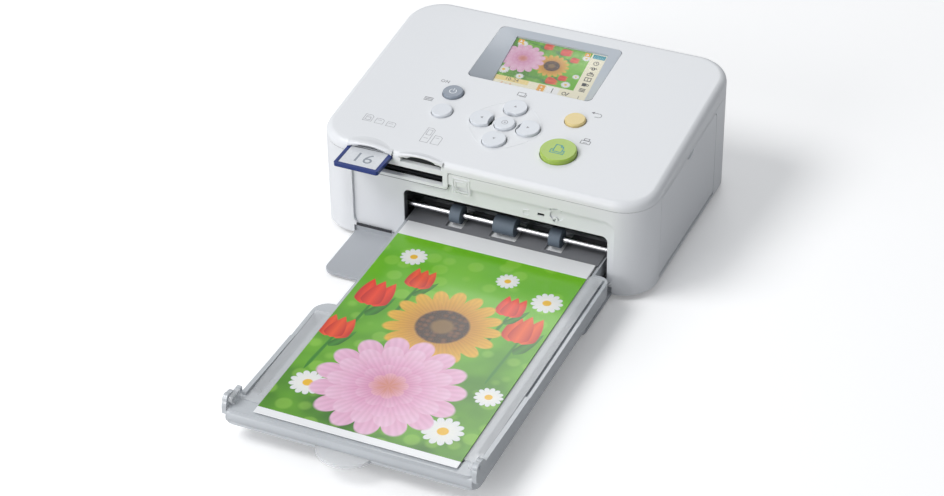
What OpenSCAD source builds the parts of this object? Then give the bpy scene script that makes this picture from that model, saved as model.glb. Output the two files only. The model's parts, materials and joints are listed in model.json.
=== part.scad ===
// Compact dye-sublimation photo printer, shown with its paper cassette in place.
// Millimetres, +Z up, front of the printer faces -Y. The origin is the middle of the footprint, on the ground.

/* [Body] */
// Width of the printer body
body_w = 176; // [160:1:200]
// Distance of the body's middle to the right of the screen and keys
body_x = 2.3; // [0:0.1:4]
// Depth of the printer body
body_d = 128.8; // [120:0.1:150]
// Height of the top face at the front edge
front_h = 56.1; // [54:0.1:60]
// Height of the top face at the rear edge
back_h = 67.7; // [62:0.1:74]
// Height of the cover seam at the front
seam_front = 51.4; // [49:0.1:52]
// Height of the cover seam at the rear
seam_back = 57.3; // [54:0.1:60]
// Corner radius of the two front corners, seen from above
corner_front = 18; // [14:0.5:22]
// Corner radius of the two rear corners, seen from above
corner_rear = 19; // [18:0.5:30]
// Rounding of the top edge
edge_r = 4; // [3:0.1:5]
// Wall of the casings
wall = 2.2; // [1.8:0.1:3]
// Thickness of the floor pan
floor_t = 2.2; // [1.6:0.1:3]
// Gap left at a seam between two casings
seam_gap = 0.2; // [0.1:0.05:0.4]

/* [Feet] */
// Height of the body over the ground
foot_h = 3; // [2.5:0.1:5]
// Radius of a rubber foot
foot_r = 5; // [4:0.1:7]
// Distance of the feet from the body's sides
foot_inset = 18; // [14:0.5:26]

/* [Front opening] */
// Middle of the cassette opening, from the body's middle
cas_x = 16; // [10:0.5:18]
// Width of the cassette opening
mouth_w = 108; // [104:0.5:116]
// Lower edge of the cassette opening
mouth_z0 = 8.6; // [7.5:0.1:9]
// Upper edge of the cassette opening
mouth_z1 = 34.9; // [32:0.1:37]
// Depth of the door recess in the front face
recess_t = 1.4; // [1:0.1:2]
// Width of the door recess
recess_w = 139.4; // [128:0.5:142]
// Middle of the door recess, from the body's middle
recess_x = 4; // [0:0.5:6]
// Upper edge of the door recess
recess_z1 = 45; // [40:0.1:46]

/* [Cassette] */
// Width of the cassette where it slides in
tray_w = 104; // [103:0.5:107]
// Length of the cassette
tray_l = 190; // [180:1:205]
// Height of the underside of the cassette
tray_z = 9.6; // [9.4:0.1:11]
// Length of the cassette that sticks out of the printer
tray_out = 167; // [155:1:175]
// Thickness of the cassette's walls
tray_wall = 1.8; // [1.2:0.1:2.4]
// Height of the cassette's rear part
tray_h = 8; // [7:0.1:8.2]
// Width of the wide front part to the left of the cassette's middle
wing_left = 65; // [58:0.5:68]
// Width of the wide front part to the right of the cassette's middle
wing_right = 60; // [55:0.5:64]
// Step from the left ear in to the left wing
wing_step = 4; // [2:0.5:6]
// Length of the left wing
wing_len_left = 90; // [60:1:110]
// Length of the right wing
wing_len_right = 160; // [120:1:163]
// Height of the front ears over the cassette's underside
ear_h = 13.4; // [11:0.1:15]
// Height of the front bar
bar_h = 8.2; // [7:0.1:9]
// Distance of the finger tab to the left of the cassette's middle
tab_aside = 4.7; // [0:0.1:8]
// Reach of the finger tab in front of the bar
tab_reach = 9; // [6:0.5:12]

/* [Paper] */
// Width of a sheet
paper_w = 100; // [98:0.5:101]
// Length of the finished picture
picture_l = 148; // [140:0.5:150]
// Length of the sheet that shows on the cassette
sheet_l = 164; // [155:0.5:165]
// Thickness of a sheet
sheet_t = 0.35; // [0.25:0.05:0.6]

/* [Screen] */
// Width of the display
lcd_w = 50.5; // [46:0.5:56]
// Height of the display
lcd_h = 38; // [34:0.5:40]
// Width of the screen bezel
bezel_w = 67.5; // [64:0.5:76]
// Length of the screen bezel
bezel_l = 46.7; // [44:0.1:50]
// Depth of the display at its rear edge
lcd_rear_sink = 0.9; // [0.6:0.1:2]
// Depth of the display at its front edge
lcd_front_sink = 6.8; // [5:0.1:8]
// Middle of the bezel, from the body's middle
bezel_x = -0.7; // [-3:0.1:3]
// Middle of the bezel behind the body's middle
bezel_y = 29.8; // [26:0.1:34]

/* [Controls] */
// Radius of the small round buttons
button_r = 5.3; // [4.5:0.1:6]
// Radius of the green print button
print_r = 9.1; // [8:0.1:11]
// Radius of a direction key before its bite is cut
key_r = 6; // [5.4:0.1:6.4]
// Distance of the left and right keys from the middle key
key_dx = 12.3; // [12:0.1:13.5]
// Distance of the up and down keys from the middle key
key_dy = 13.6; // [13:0.1:15]
// Height of the small buttons over the top face
button_proud = 1.5; // [1:0.1:2.2]
// Height of the print button over the top face
print_proud = 2.6; // [2:0.1:3.4]
// Travel of a button
button_travel = 0.6; // [0.4:0.1:0.8]
// Clearance around a button
button_gap = 0.35; // [0.25:0.05:0.6]

/* [Mechanism] */
// Radius of the pick-up shaft
pick_shaft_r = 1.5; // [1.2:0.1:2]
// Radius of the pick-up rollers
pick_roll_r = 4.8; // [4.4:0.1:5]
// Radius of the platen roller
platen_r = 5; // [4:0.1:5.5]
// Radius of the capstan roller
capstan_r = 3.5; // [3:0.1:4]
// Radius of the pinch roller
pinch_r = 3; // [2.5:0.1:3.5]
// Radius of the roller journals
journal_r = 1.5; // [1.2:0.1:2]
// Radial clearance of a shaft in its bearing
run_gap = 0.08; // [0.05:0.01:0.1]
// Thickness of the chassis plates
plate_t = 1.6; // [1.2:0.1:2.4]
// Gear module
gear_m = 1; // [0.95:0.01:1.02]
// Face width of the gears
gear_w = 3.6; // [3:0.1:5]

/* [Hidden] */
$fn = 48;
half_w = body_w / 2;
side_x = body_x + half_w;
slope = atan((back_h - front_h) / body_d);
seam_slope = atan((seam_back - seam_front) / body_d);
// the whole part is centred front to back, so the body's middle lies behind the origin
front_plane = -body_d / 2;
tray_front = front_plane - tray_out;
tray_rear = tray_front + tray_l;
shift_y = (-front_plane - tray_front + tab_reach) / 2 + front_plane;
tray_x = cas_x - 0.8;
tray_top = tray_z + tray_h;
lid_pin = [tray_front + 3.5, tray_top + 3.4];
lid_pin_r = 1.1;
print_z = tray_top + 0.75;
print_front = tray_front + 2;
lid_l = tray_out - 15;
stack_l = tray_l - 12;
stack_h = tray_h - 3.4;
floor_z = foot_h + floor_t;
screw_boss_h = 2.8;
screw_inset = 16;
screw_y = body_d / 2 - 18.4;
recess_x0 = recess_x - recess_w / 2;
recess_x1 = recess_x + recess_w / 2;
recess_z0 = 6.8;

function top_z(y) = front_h + (y - front_plane) * tan(slope);
function seam_z(y) = seam_front + (y - front_plane) * tan(seam_slope);

// card bezel: the cover reaches down the front around the card slots
card_x0 = -69.5;
card_x1 = -13.3;
card_z0 = 41.6;
card_back = front_plane + corner_front;
sd_w = 24;
sd_l = 32;
sd_t = 2.1;
sd_x = -55.2;
sd_z = 51.9;
sd_out = 16.2;
cf_x0 = -60;
cf_x1 = -16;
cf_z0 = 43.3;
cf_z1 = 49;
ms_x = -27.6;
ms_w = 22;
ms_z0 = 51.8;
ms_z1 = 54.2;
arch_rise = 4.4;
arch_depth = 8;

// ink door in the right side
door_y0 = -44.5;
door_y1 = 35.3;
door_z0 = 5;
door_t = 2;
door_gap = 0.35;
door_top_gap = 1.4;
door_pin_r = 1.1;
door_pin_x = side_x - 2.4;
door_pin_z = door_z0 + 1.9;

// front door, hinged at its lower edge and folded flat in front of the body
flap_l = 39.6;
flap_t = 1.8;
flap_pin_r = 1.1;
flap_pin_y = front_plane + recess_t + 1.6;
flap_pin_z = 5;
flap_gap = 0.3;
flap_x0 = recess_x0 + 0.5;
flap_x1 = recess_x1 - 0.9;
flap_top = 3.6;

// chassis plates stand on both sides of the cassette mouth
mouth_x0 = cas_x - mouth_w / 2;
mouth_x1 = cas_x + mouth_w / 2;
plate_x0 = mouth_x0 - 4;
plate_x1 = mouth_x1 + 4;
plate_y0 = front_plane + wall + 1;
plate_y1 = body_d / 2 - 13.4;
plate_z1 = 40;

// shafts, as [y, z]
pick = [front_plane + 8.4, 22.6];
pick_flat = pick_roll_r - 0.4;
platen = [0, 21.5];
capstan = [34, platen[1] + platen_r - capstan_r];
pinch = capstan + [0, capstan_r + pinch_r + 0.4];
head_pivot = [capstan[0], 49];
head_pin_r = 1.5;

function tip(n) = gear_m * (n / 2 + 0.8);
function mesh(a, b) = gear_m * (a + b) / 2 + 0.12;
function meet(p, rp, q, rq, side) =
  let (d = norm(q - p), u = (q - p) / d, along = (rp * rp - rq * rq + d * d) / (2 * d))
  p + u * along + side * [-u[1], u[0]] * sqrt(rp * rp - along * along);

pinion_n = 10;
small_n = 10;
idler_b_n = 26;
idler_a_n = 30;
drive_n = 30;
drive = meet(platen, mesh(small_n, drive_n), capstan, mesh(small_n, drive_n), 1);
idler_b = pick + mesh(small_n, idler_b_n) * [cos(10), sin(10)];
idler_a = meet(idler_b, mesh(idler_b_n, idler_a_n), drive, mesh(drive_n, idler_a_n), 1);
motor = drive + mesh(pinion_n, drive_n) * [cos(25), sin(25)];
gear_x = plate_x0 - 0.6 - gear_w;
outer_gear_x = gear_x - 0.4 - gear_w;
motor_r = 10;
motor_l = 22;

stay_at = [[plate_y0 + 5, 34], [plate_y1 - 4, 14], [plate_y1 - 4, 54]];

// main board on the floor, at the left
main_x0 = body_x - half_w + 8;
main_w = 34;
main_l = 78;
main_y0 = body_d / 2 - 16.4 - main_l;
main_tail = 48;

// ribbon cartridge, pushed in from the right over the platen
cart_x0 = mouth_x0 + 3;
cart_x1 = side_x - 7.7;
cart_y0 = -25;
cart_y1 = 27;
cart_z0 = 28.4;
cart_z1 = 47;
cart_wall = 1.4;
spool_r = 7.4;
spool_hub_r = 3.2;
supply = [cart_y0 + spool_r + 1.9, cart_z0 + 9.2];
takeup = [cart_y1 - spool_r - 1.9, cart_z0 + 9.2];
cart_gap = 14;
head_x0 = cart_x0 + 6.5;
head_w = 96;
eject_travel = 4;

// the screen lies in a funnel, tilted to the user
lcd_tilt = atan((lcd_front_sink - lcd_rear_sink) / lcd_h);
bezel_y1 = bezel_y + bezel_l / 2;
bezel_y0 = bezel_y - bezel_l / 2;
lcd_y1 = bezel_y1 - 5.2;
lcd_x = bezel_x + 2;

// buttons, as [x, y] on the top face
ok_at = [0.3, -25];
power_at = [-34.4, -9.9];
menu_at = [-33.4, -25.8];
back_at = [31.9, -10.4];
print_at = [34, -37.4];
board_drop = 8;
board_t = 1.6;
stem_r = 2;

// from the body's middle to the part's origin
module placed() translate([-body_x, shift_y, 0]) children();

// a span along X
module along_x(x0, x1, at, r) translate([x0, at[0], at[1]]) rotate([0, 90, 0]) cylinder(r = r, h = x1 - x0);

// 2D rounded rectangle from its corners
module soft_rect(x0, y0, x1, y1, r) {
  translate([x0 + r, y0]) square([x1 - x0 - 2 * r, y1 - y0]);
  translate([x0, y0 + r]) square([x1 - x0, y1 - y0 - 2 * r]);
  for (x = [x0 + r, x1 - r], y = [y0 + r, y1 - r]) translate([x, y]) circle(r);
}

// body outline from above, inset by t
module outline(t) translate([body_x, 0]) {
  rf = corner_front - t;
  rr = corner_rear - t;
  w = half_w - t;
  d = body_d / 2 - t;
  translate([-w + rf, -d]) square([2 * (w - rf), 2 * d - rr]);
  translate([-w, -d + rf]) square([2 * w, 2 * d - rf - rr]);
  translate([-w + rr, d - rr - 1]) square([2 * (w - rr), rr + 1]);
  for (s = [-1, 1]) {
    translate([s * (w - rf), -d + rf]) circle(rf, $fn = 96);
    translate([s * (w - rr), d - rr]) circle(rr, $fn = 96);
  }
}

// solid of the whole body inset by t, with the sloped and rounded top
module body_block(t) {
  rf = corner_front - t;
  rr = corner_rear - t;
  er = max(edge_r - t, 0.8);
  difference() {
    hull() {
      for (s = [-1, 1], c = [[rf, front_plane + corner_front], [rr, body_d / 2 - corner_rear]])
        translate([body_x + s * (half_w - t - c[0]), c[1], top_z(c[1]) - t - er]) rotate([slope, 0, 0])
          rotate_extrude($fn = 64) translate([c[0] - er, 0]) circle(er, $fn = 20);
      translate([0, 0, foot_h + t]) linear_extrude(1) outline(t);
    }
    // planes the top face flat
    translate([0, 0, top_z(0) - t - er]) rotate([slope, 0, 0]) translate([-body_w, -body_d, er - 0.03])
      cube([2 * body_w, 2 * body_d, 5]);
  }
}

// everything above a plane parallel to the seam
module above_seam(lift) translate([0, front_plane, seam_front + lift]) rotate([seam_slope, 0, 0])
  translate([-body_w, -20, 0]) cube([2 * body_w, 2 * body_d, 60]);

// the zone of the cover in front of the card slots, grown by g
module card_zone(g) translate([0, card_back + g, 0]) rotate([90, 0, 0])
  linear_extrude(corner_front + 10) soft_rect(card_x0 - g, card_z0 - g, card_x1 + g, seam_front + 6, 2);

module vent_row(n, pitch, w, h) for (i = [0:n - 1]) translate([(i - (n - 1) / 2) * pitch, 0, 0])
  cube([w, 20, h], center = true);

// ---- casings ----

// side view of the ink door's opening, inset by g, as [y, z] corners
module door_shape(g) {
  y0 = door_y0 + g;
  y1 = door_y1 - g;
  drop = door_top_gap + g;
  polygon([[y0, door_z0 - 0.8 + 2 * g], [y1, door_z0 - 0.8 + 2 * g],
    [y1, seam_z(y1) - drop - 3], [y1 - 1, seam_z(y1) - drop - 0.9], [y1 - 3, seam_z(y1) - drop],
    [y0, seam_z(y0) - drop]]);
}

// lays a [y, z] outline out as a slab from x upwards
module side_slab(x, t) translate([x, 0, 0]) rotate([90, 0, 90]) linear_extrude(t) children();

// lays an [x, z] outline out as a slab from y backwards
module front_slab(y, t) translate([0, y + t, 0]) rotate([90, 0, 0]) linear_extrude(t) children();

// room for the lower edge of the ink door as it swings
module door_room() translate([door_pin_x, door_y0, door_pin_z]) rotate([-90, 0, 0])
  cylinder(r = side_x - door_pin_x + door_gap, h = door_y1 - door_y0);

module base_case() placed() color("gainsboro") difference() {
  union() {
    translate([0, 0, foot_h]) linear_extrude(floor_t) outline(wall + 0.3);
    // ribs that carry the chassis plates
    for (x = [plate_x0 + plate_t + 0.2, plate_x1 - plate_t - 3.2])
      translate([x, plate_y0 + 8, floor_z - 0.2]) cube([3, plate_y1 - plate_y0 - 16, 3]);
    at_screws() translate([0, 0, floor_z - 0.2]) cylinder(r = 4, h = screw_boss_h + 0.2);
  }
  // room for the bearing blocks of the ink door
  for (y = [door_y0 - 3.4, door_y1 - 0.2]) translate([door_pin_x - 2.3, y - 0.3, 0]) cube([10, 4.2, 20]);
  door_room();
  // front edge set back behind the front door's hinge
  translate([recess_x0 - 5, front_plane, 0]) cube([recess_w + 10, flap_pin_y + 3 - front_plane, 20]);
  at_screws() cylinder(r = 1.3, h = 30);
  at_screws() cylinder(r = 3, h = foot_h + 1.2);
  // cooling grille in the floor
  translate([-62, 10, foot_h]) vent_row(7, 4, 1.8, 8);
}

module housing() placed() color("whitesmoke") difference() {
  union() {
    difference() {
      translate([0, 0, foot_h]) linear_extrude(seam_back) outline(0);
      translate([0, 0, foot_h - 1]) linear_extrude(seam_back + 2) outline(wall);
    }
    // bearing blocks of the front door
    for (x = [recess_x0 - 3.6, recess_x1 - 0.6]) intersection() {
      translate([x, front_plane, flap_pin_z - 2]) cube([4, flap_pin_y + 2.6 - front_plane, 4.4]);
      translate([0, 0, foot_h]) linear_extrude(10) outline(0.2);
    }
    // bearing blocks of the ink door
    for (y = [door_y0 - 3.4, door_y1 - 0.2])
      translate([door_pin_x - 2, y, foot_h]) cube([side_x - door_pin_x + 1.4, 3.6, door_pin_z - foot_h + 2]);
  }
  above_seam(-seam_gap);
  card_zone(seam_gap);
  // recess of the front door
  front_slab(front_plane - 1, recess_t + 1) soft_rect(recess_x0, recess_z0, recess_x1, recess_z1, 6);
  // channel of the front door's hinge
  translate([flap_x0 - 0.4, front_plane - 1, foot_h - 1]) cube([flap_x1 - flap_x0 + 0.8, 8, 5.2]);
  // cassette mouth
  front_slab(front_plane - 1, wall + 2) soft_rect(mouth_x0, mouth_z0, mouth_x1, mouth_z1, 3);
  // catch of the front door and its finger scoop
  front_slab(front_plane - 1, wall + 2) soft_rect(cas_x + 17.6, 38.2, cas_x + 21.2, 39.8, 0.3);
  translate([cas_x + 27.5, front_plane + recess_t - 0.5, 41.5]) rotate([90, 0, 0]) cylinder(r = 4, h = 2, center = true);
  // opening of the ink door
  side_slab(side_x - 2 * wall, 3 * wall) door_shape(0);
  door_room();
  // hinge bores
  along_x(recess_x0 - 3, recess_x1 + 3, [flap_pin_y, flap_pin_z], flap_pin_r + run_gap);
  translate([door_pin_x, door_y0 - 2.8, door_pin_z]) rotate([-90, 0, 0])
    cylinder(r = door_pin_r + run_gap, h = door_y1 - door_y0 + 5.6);
  // rear: paper slot, vents, sockets
  front_slab(body_d / 2 - wall - 1, wall + 2) {
    soft_rect(mouth_x0 + 1, 22.5, 60, 30.5, 2);
    translate([-56, 12]) circle(4.2);
    for (x = [-44, -28]) translate([x, 7.5]) square([12, 9]);
  }
  translate([14, body_d / 2, 42]) vent_row(16, 5, 2.4, 10);
}

// arch over a card slot, as a prism in the front wall
module card_arch(x, w, z) {
  r = (w * w / 4 + arch_rise * arch_rise) / (2 * arch_rise);
  translate([0, front_plane - 2, 0]) intersection() {
    translate([x - w / 2, 0, z]) cube([w, arch_depth, arch_rise + 1]);
    translate([x, -1, z + arch_rise - r]) rotate([-90, 0, 0]) cylinder(r = r, h = arch_depth + 2, $fn = 128);
  }
}

module on_top(at, lift) translate([at[0], at[1], top_z(at[1])]) rotate([slope, 0, 0])
  translate([0, 0, lift]) children();

module top_cover() placed() color("whitesmoke") difference() {
  body_block(0);
  difference() {
    body_block(wall);
    // the bezel's wall is closed behind the card slots
    translate([card_x0, front_plane, card_z0]) cube([card_x1 - card_x0, wall + 0.6, 30]);
  }
  difference() {
    translate([-body_w, -body_d, 0]) cube([2 * body_w, 2 * body_d, 90]);
    above_seam(0);
    card_zone(0);
  }
  // funnel of the screen
  on_top([bezel_x, bezel_y], -20) linear_extrude(30)
    soft_rect(-bezel_w / 2, -bezel_l / 2, bezel_w / 2, bezel_l / 2, 3);
  // button holes
  for (p = [power_at, menu_at, back_at, ok_at]) on_top(p, -10) cylinder(r = button_r + button_gap, h = 20);
  on_top(print_at, -10) cylinder(r = print_r + button_gap, h = 20);
  for (k = [0:3]) on_top(ok_at, -10) linear_extrude(20) direction_key(k, -button_gap);
  // card slots
  card_arch(sd_x, sd_w + 1.6, sd_z - 0.3);
  card_arch(ms_x, ms_w, ms_z0);
  translate([sd_x - sd_w / 2 - 0.4, front_plane - 2, sd_z - 0.3]) cube([sd_w + 0.8, 9, sd_t + 0.6]);
  translate([ms_x - ms_w / 2, front_plane - 2, ms_z0]) cube([ms_w, 9, ms_z1 - ms_z0]);
  translate([cf_x0, front_plane - 2, cf_z0]) cube([cf_x1 - cf_x0, 9, cf_z1 - cf_z0]);
}

// the four direction keys around the middle key; k counts up, left, down, right; g shrinks the outline
module direction_key(k, g) {
  far = [key_dy, key_dx, key_dy, key_dx][k];
  rotate(90 * k) difference() {
    translate([0, far]) circle(key_r - g);
    circle(button_r + 1.5 + g);
  }
}

module funnel(t) {
  // hull from the rim at the top face down to the tilted display
  hull() {
    translate([0, 0, 0.6]) linear_extrude(0.1)
      square([bezel_w - 2 * t, bezel_l - 2 * t], center = true);
    translate([lcd_x - bezel_x, lcd_y1 - bezel_y, -lcd_rear_sink]) rotate([lcd_tilt, 0, 0])
      translate([-lcd_w / 2 - 0.8 + t, -lcd_h - 0.8 + t, -0.1])
        cube([lcd_w + 1.6 - 2 * t, lcd_h + 1.6 - 2 * t, 0.1]);
  }
}

module screen_bezel() placed() color("lightsteelblue") on_top([bezel_x, bezel_y], 0) difference() {
  translate([0, 0, -lcd_front_sink - 3.6]) linear_extrude(lcd_front_sink + 3.6)
    soft_rect(-bezel_w / 2 + 0.15, -bezel_l / 2 + 0.15, bezel_w / 2 - 0.15, bezel_l / 2 - 0.15, 2.8);
  funnel(1.2);
  at_display(0) translate([0, 0, -10]) linear_extrude(12) square([lcd_w, lcd_h]);
  at_display(0) translate([-1, -1, -10]) linear_extrude(9) square([lcd_w + 2, lcd_h + 2]);
}

// corner of the display in the frame of the bezel: its own front left corner, its face upwards
module at_display(lift) translate([lcd_x - bezel_x, lcd_y1 - bezel_y, -lcd_rear_sink]) rotate([lcd_tilt, 0, 0])
  translate([-lcd_w / 2, -lcd_h, lift]) children();

module screen_panel() placed() color("orange") on_top([bezel_x, bezel_y], 0)
  at_display(-3.4) cube([lcd_w, lcd_h, 2.4]);

module screen_window() placed() color("lightgray", 0.3) on_top([bezel_x, bezel_y], 0)
  at_display(-0.9) translate([0.15, 0.15, 0]) cube([lcd_w - 0.3, lcd_h - 0.3, 0.8]);

module feet() placed() color("dimgray") for (s = [-1, 1], y = [-1, 1])
  translate([body_x + s * (half_w - foot_inset), y * (body_d / 2 - foot_inset - 2), 0])
    cylinder(r = foot_r, h = foot_h);

// places of the four screws that hold the floor pan
module at_screws() for (s = [-1, 1], y = [-1, 1])
  translate([body_x + s * (half_w - screw_inset), y * screw_y, 0]) children();

module case_screws() placed() color("silver") at_screws() translate([0, 0, foot_h + 0.1]) {
  cylinder(r = 2.4, h = 1.1);
  cylinder(r = 1.2, h = floor_t + screw_boss_h - 0.1);
}

// ---- electronics ----

module control_board() placed() color("darkgreen") on_top([0, 0], -board_drop - board_t) linear_extrude(board_t)
  polygon([[-40, -34], [-12, -34], [-12, -48], [46, -48], [46, 4], [-40, 4]]);

module switches() placed() color("black") for (p = concat([power_at, menu_at, back_at, print_at, ok_at],
  [for (k = [0:3]) key_at(k)])) on_top(p, -board_drop) translate([-3, -3, 0]) {
    cube([6, 6, 2.2]);
    translate([3, 3, 0]) cylinder(r = 1.6, h = 3);
  }

function key_at(k) = ok_at + [[0, key_dy], [-key_dx, 0], [0, -key_dy], [key_dx, 0]][k];

module main_board() placed() color("darkgreen") {
  z0 = floor_z + 2.8;
  translate([main_x0, main_y0, z0]) cube([main_w, main_l, board_t]);
  translate([main_x0 + 20, main_y0 + main_l - 2, z0]) cube([main_w - 20, 14, board_t]);
  translate([main_x0 + 20, plate_y1 + 0.4, z0]) cube([main_tail, 8.6, board_t]);
  for (x = [main_x0 + 3, main_x0 + main_w - 4], y = [main_y0 + 4, main_y0 + main_l - 8])
    translate([x, y, floor_z]) cylinder(r = 2, h = 3);
  // chips, as place and side
  for (c = [[8, 12, 14], [10, 38, 10], [16, 56, 8]])
    translate([main_x0 + c[0], main_y0 + c[1], z0 + board_t - 0.1]) cube([c[2], c[2], 1.7]);
}

module usb_ports() placed() color("silver") for (x = [-44, -28]) difference() {
  translate([x + 0.3, body_d / 2 - 13, 9.6]) cube([11.4, 12.4, 6.6]);
  translate([x + 1, body_d / 2 - 12, 10.3]) cube([10, 14, 5.2]);
}

module dc_jack() placed() color("black") difference() {
  translate([-60.5, body_d / 2 - wall - 12.2, 9.6]) cube([9, 12, 8]);
  translate([-56, body_d / 2 - 12, 12.6]) rotate([-90, 0, 0]) cylinder(r = 2.75, h = 12);
}

module card_reader() placed() color("black") difference() {
  translate([card_x0 + 1, front_plane + wall + 3.6, card_z0 + 0.4]) cube([card_x1 - card_x0 - 2, 20, 12]);
  translate([cf_x0, front_plane, cf_z0]) cube([cf_x1 - cf_x0, 20, cf_z1 - cf_z0]);
  translate([ms_x - ms_w / 2, front_plane, ms_z0]) cube([ms_w, 18, ms_z1 - ms_z0]);
  translate([sd_x - sd_w / 2 - 0.4, front_plane, sd_z - 0.3]) cube([sd_w + 0.8, 18, sd_t + 0.6]);
}

module memory_card() placed() color("royalblue") translate([sd_x - sd_w / 2, front_plane - sd_out, sd_z])
  difference() {
    linear_extrude(sd_t) polygon([[0.8, 0], [sd_w - 0.8, 0], [sd_w, 0.8], [sd_w, sd_l - 4], [sd_w - 4, sd_l],
      [0, sd_l], [0, 0.8]]);
    // shallow field of the label
    translate([1.6, 1.6, sd_t - 0.2]) cube([sd_w - 3.2, 21, 1]);
    // write-protect notch
    translate([-1, 21, -1]) cube([1.7, 3, 4]);
  }

// ---- chassis and paper feed ----

module left_plate() placed() color("silver") difference() {
  side_slab(plate_x0, plate_t) polygon([[plate_y0, 8.4], [plate_y1, 8.4], [plate_y1, 58], [10, 58], [8, plate_z1],
    [plate_y0, plate_z1]]);
  for (p = [pick, platen, capstan, pinch, head_pivot])
    along_x(plate_x0 - 1, plate_x0 + 3, p, journal_r + run_gap);
  for (p = [drive, idler_a, idler_b]) along_x(plate_x0 - 1, plate_x0 + 3, p, 1.5);
  for (p = stay_at) along_x(plate_x0 - 1, plate_x0 + 3, p, 1.6);
}

module right_plate() placed() color("silver") difference() {
  side_slab(plate_x1 - plate_t, plate_t) polygon([[plate_y0, 8.4], [plate_y1, 8.4], [plate_y1, 58], [cart_y1 + 3, 58],
    [cart_y1 + 3, cart_z0 - 2.5], [cart_y0 - 3, cart_z0 - 2.5], [cart_y0 - 3, plate_z1], [plate_y0, plate_z1]]);
  for (p = [pick, platen, capstan, pinch, head_pivot])
    along_x(plate_x1 - 3, plate_x1 + 1, p, journal_r + run_gap);
  for (p = stay_at) along_x(plate_x1 - 3, plate_x1 + 1, p, 1.6);
}

module cross_stays() placed() color("silver") for (p = stay_at)
  along_x(plate_x0 - 1, plate_x1 + 1, p, 1.6);

// the pick-up rollers are flat below, so that the cassette slides under them
module pickup_shaft() placed() color("silver") along_x(gear_x - 0.6, plate_x1 + 1.5, pick, pick_shaft_r);

module pickup_rollers() placed() color("slategray") for (r = [[-14.8, 5.8], [8.6, 11.2], [38, 6.2]])
  difference() {
    along_x(r[0], r[0] + r[1], pick, pick_roll_r);
    along_x(r[0] - 1, r[0] + r[1] + 1, pick, pick_shaft_r);
    translate([r[0] - 1, pick[0] - 10, pick[1] - 10 - pick_flat]) cube([r[1] + 2, 20, 10]);
  }

// toothed wheel; turn sets where its first tooth points
module gear(n, x, w, at, turn, bore) difference() {
  translate([x, at[0], at[1]]) rotate([90, 0, 90]) rotate(turn) linear_extrude(w) {
    circle(r = gear_m * (n / 2 - 1), $fn = 3 * n);
    for (i = [0:n - 1]) rotate(i * 360 / n) translate([gear_m * (n / 2 - 1.3), 0]) polygon([
      [0, -0.72 * gear_m], [gear_m * 1.3, -0.58 * gear_m], [gear_m * 2.1, -0.24 * gear_m],
      [gear_m * 2.1, 0.24 * gear_m], [gear_m * 1.3, 0.58 * gear_m], [0, 0.72 * gear_m]]);
  }
  along_x(x - 1, x + w + 1, at, bore);
  if (n > 20) for (i = [0:4]) translate([x - 1, at[0], at[1]]) rotate([90, 0, 90])
    rotate(i * 72) translate([gear_m * n * 0.29, 0]) cylinder(r = gear_m * n * 0.11, h = w + 2);
}

// angle of the line from p to q in the gear plane
function aim(p, q) = atan2(q[1] - p[1], q[0] - p[0]);
// turn of a driven wheel of n teeth at q that meshes with a wheel of m teeth, turned by t, at p
function follow(p, q, m, t, n) = aim(p, q) + 180 + 180 / n + (aim(p, q) - t) * m / n;

drive_turn = 0;
idler_a_turn = follow(drive, idler_a, drive_n, drive_turn, idler_a_n);
idler_b_turn = follow(idler_a, idler_b, idler_a_n, idler_a_turn, idler_b_n);

module drive_gear() placed() color("ivory")
  gear(drive_n, outer_gear_x, 2 * gear_w + 0.4, drive, drive_turn, 1.5 + run_gap);
module idler_gear_rear() placed() color("ivory")
  gear(idler_a_n, gear_x, gear_w, idler_a, idler_a_turn, 1.5 + run_gap);
module idler_gear_front() placed() color("ivory")
  gear(idler_b_n, gear_x, gear_w, idler_b, idler_b_turn, 1.5 + run_gap);
module pickup_gear() placed() color("ivory")
  gear(small_n, gear_x, gear_w, pick, follow(idler_b, pick, idler_b_n, idler_b_turn, small_n), pick_shaft_r);
module platen_gear() placed() color("ivory")
  gear(small_n, outer_gear_x, gear_w, platen, follow(drive, platen, drive_n, drive_turn, small_n), journal_r);
module capstan_gear() placed() color("ivory")
  gear(small_n, outer_gear_x, gear_w, capstan, follow(drive, capstan, drive_n, drive_turn, small_n), journal_r);
module motor_pinion() placed() color("goldenrod") {
  gear(pinion_n, gear_x, gear_w, motor, follow(drive, motor, drive_n, drive_turn, pinion_n), 0.5);
  along_x(outer_gear_x - 2.1, gear_x + gear_w, motor, 1);
}

module gear_posts() placed() color("silver") {
  along_x(outer_gear_x - 1, plate_x0 + plate_t, drive, 1.5);
  for (p = [idler_a, idler_b]) along_x(gear_x - 1, plate_x0 + plate_t, p, 1.5);
}

module feed_motor() placed() color("dimgray") {
  along_x(outer_gear_x - 1 - motor_l, outer_gear_x - 2.2, motor, motor_r);
  difference() {
    side_slab(outer_gear_x - 2.4, 1.2) hull() {
      translate(motor) circle(motor_r + 1, $fn = 32);
      for (a = [0, 95]) translate(motor + 13 * [cos(a), sin(a)]) circle(2.4, $fn = 32);
    }
    along_x(outer_gear_x - 3, outer_gear_x, motor, 1 + run_gap);
  }
  for (a = [0, 95]) along_x(outer_gear_x - 1.3, plate_x0, motor + 13 * [cos(a), sin(a)], 1.6);
}

module roller(at, r, x0) {
  along_x(plate_x0 + plate_t + 1, plate_x1 - plate_t - 1, at, r);
  along_x(x0, plate_x1 + 1, at, journal_r);
}

module platen_roller() placed() color("black") roller(platen, platen_r, outer_gear_x - 0.5);
module capstan_roller() placed() color("silver") roller(capstan, capstan_r, outer_gear_x - 0.5);
module pinch_roller() placed() color("silver") roller(pinch, pinch_r, plate_x0 - 1);

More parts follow.
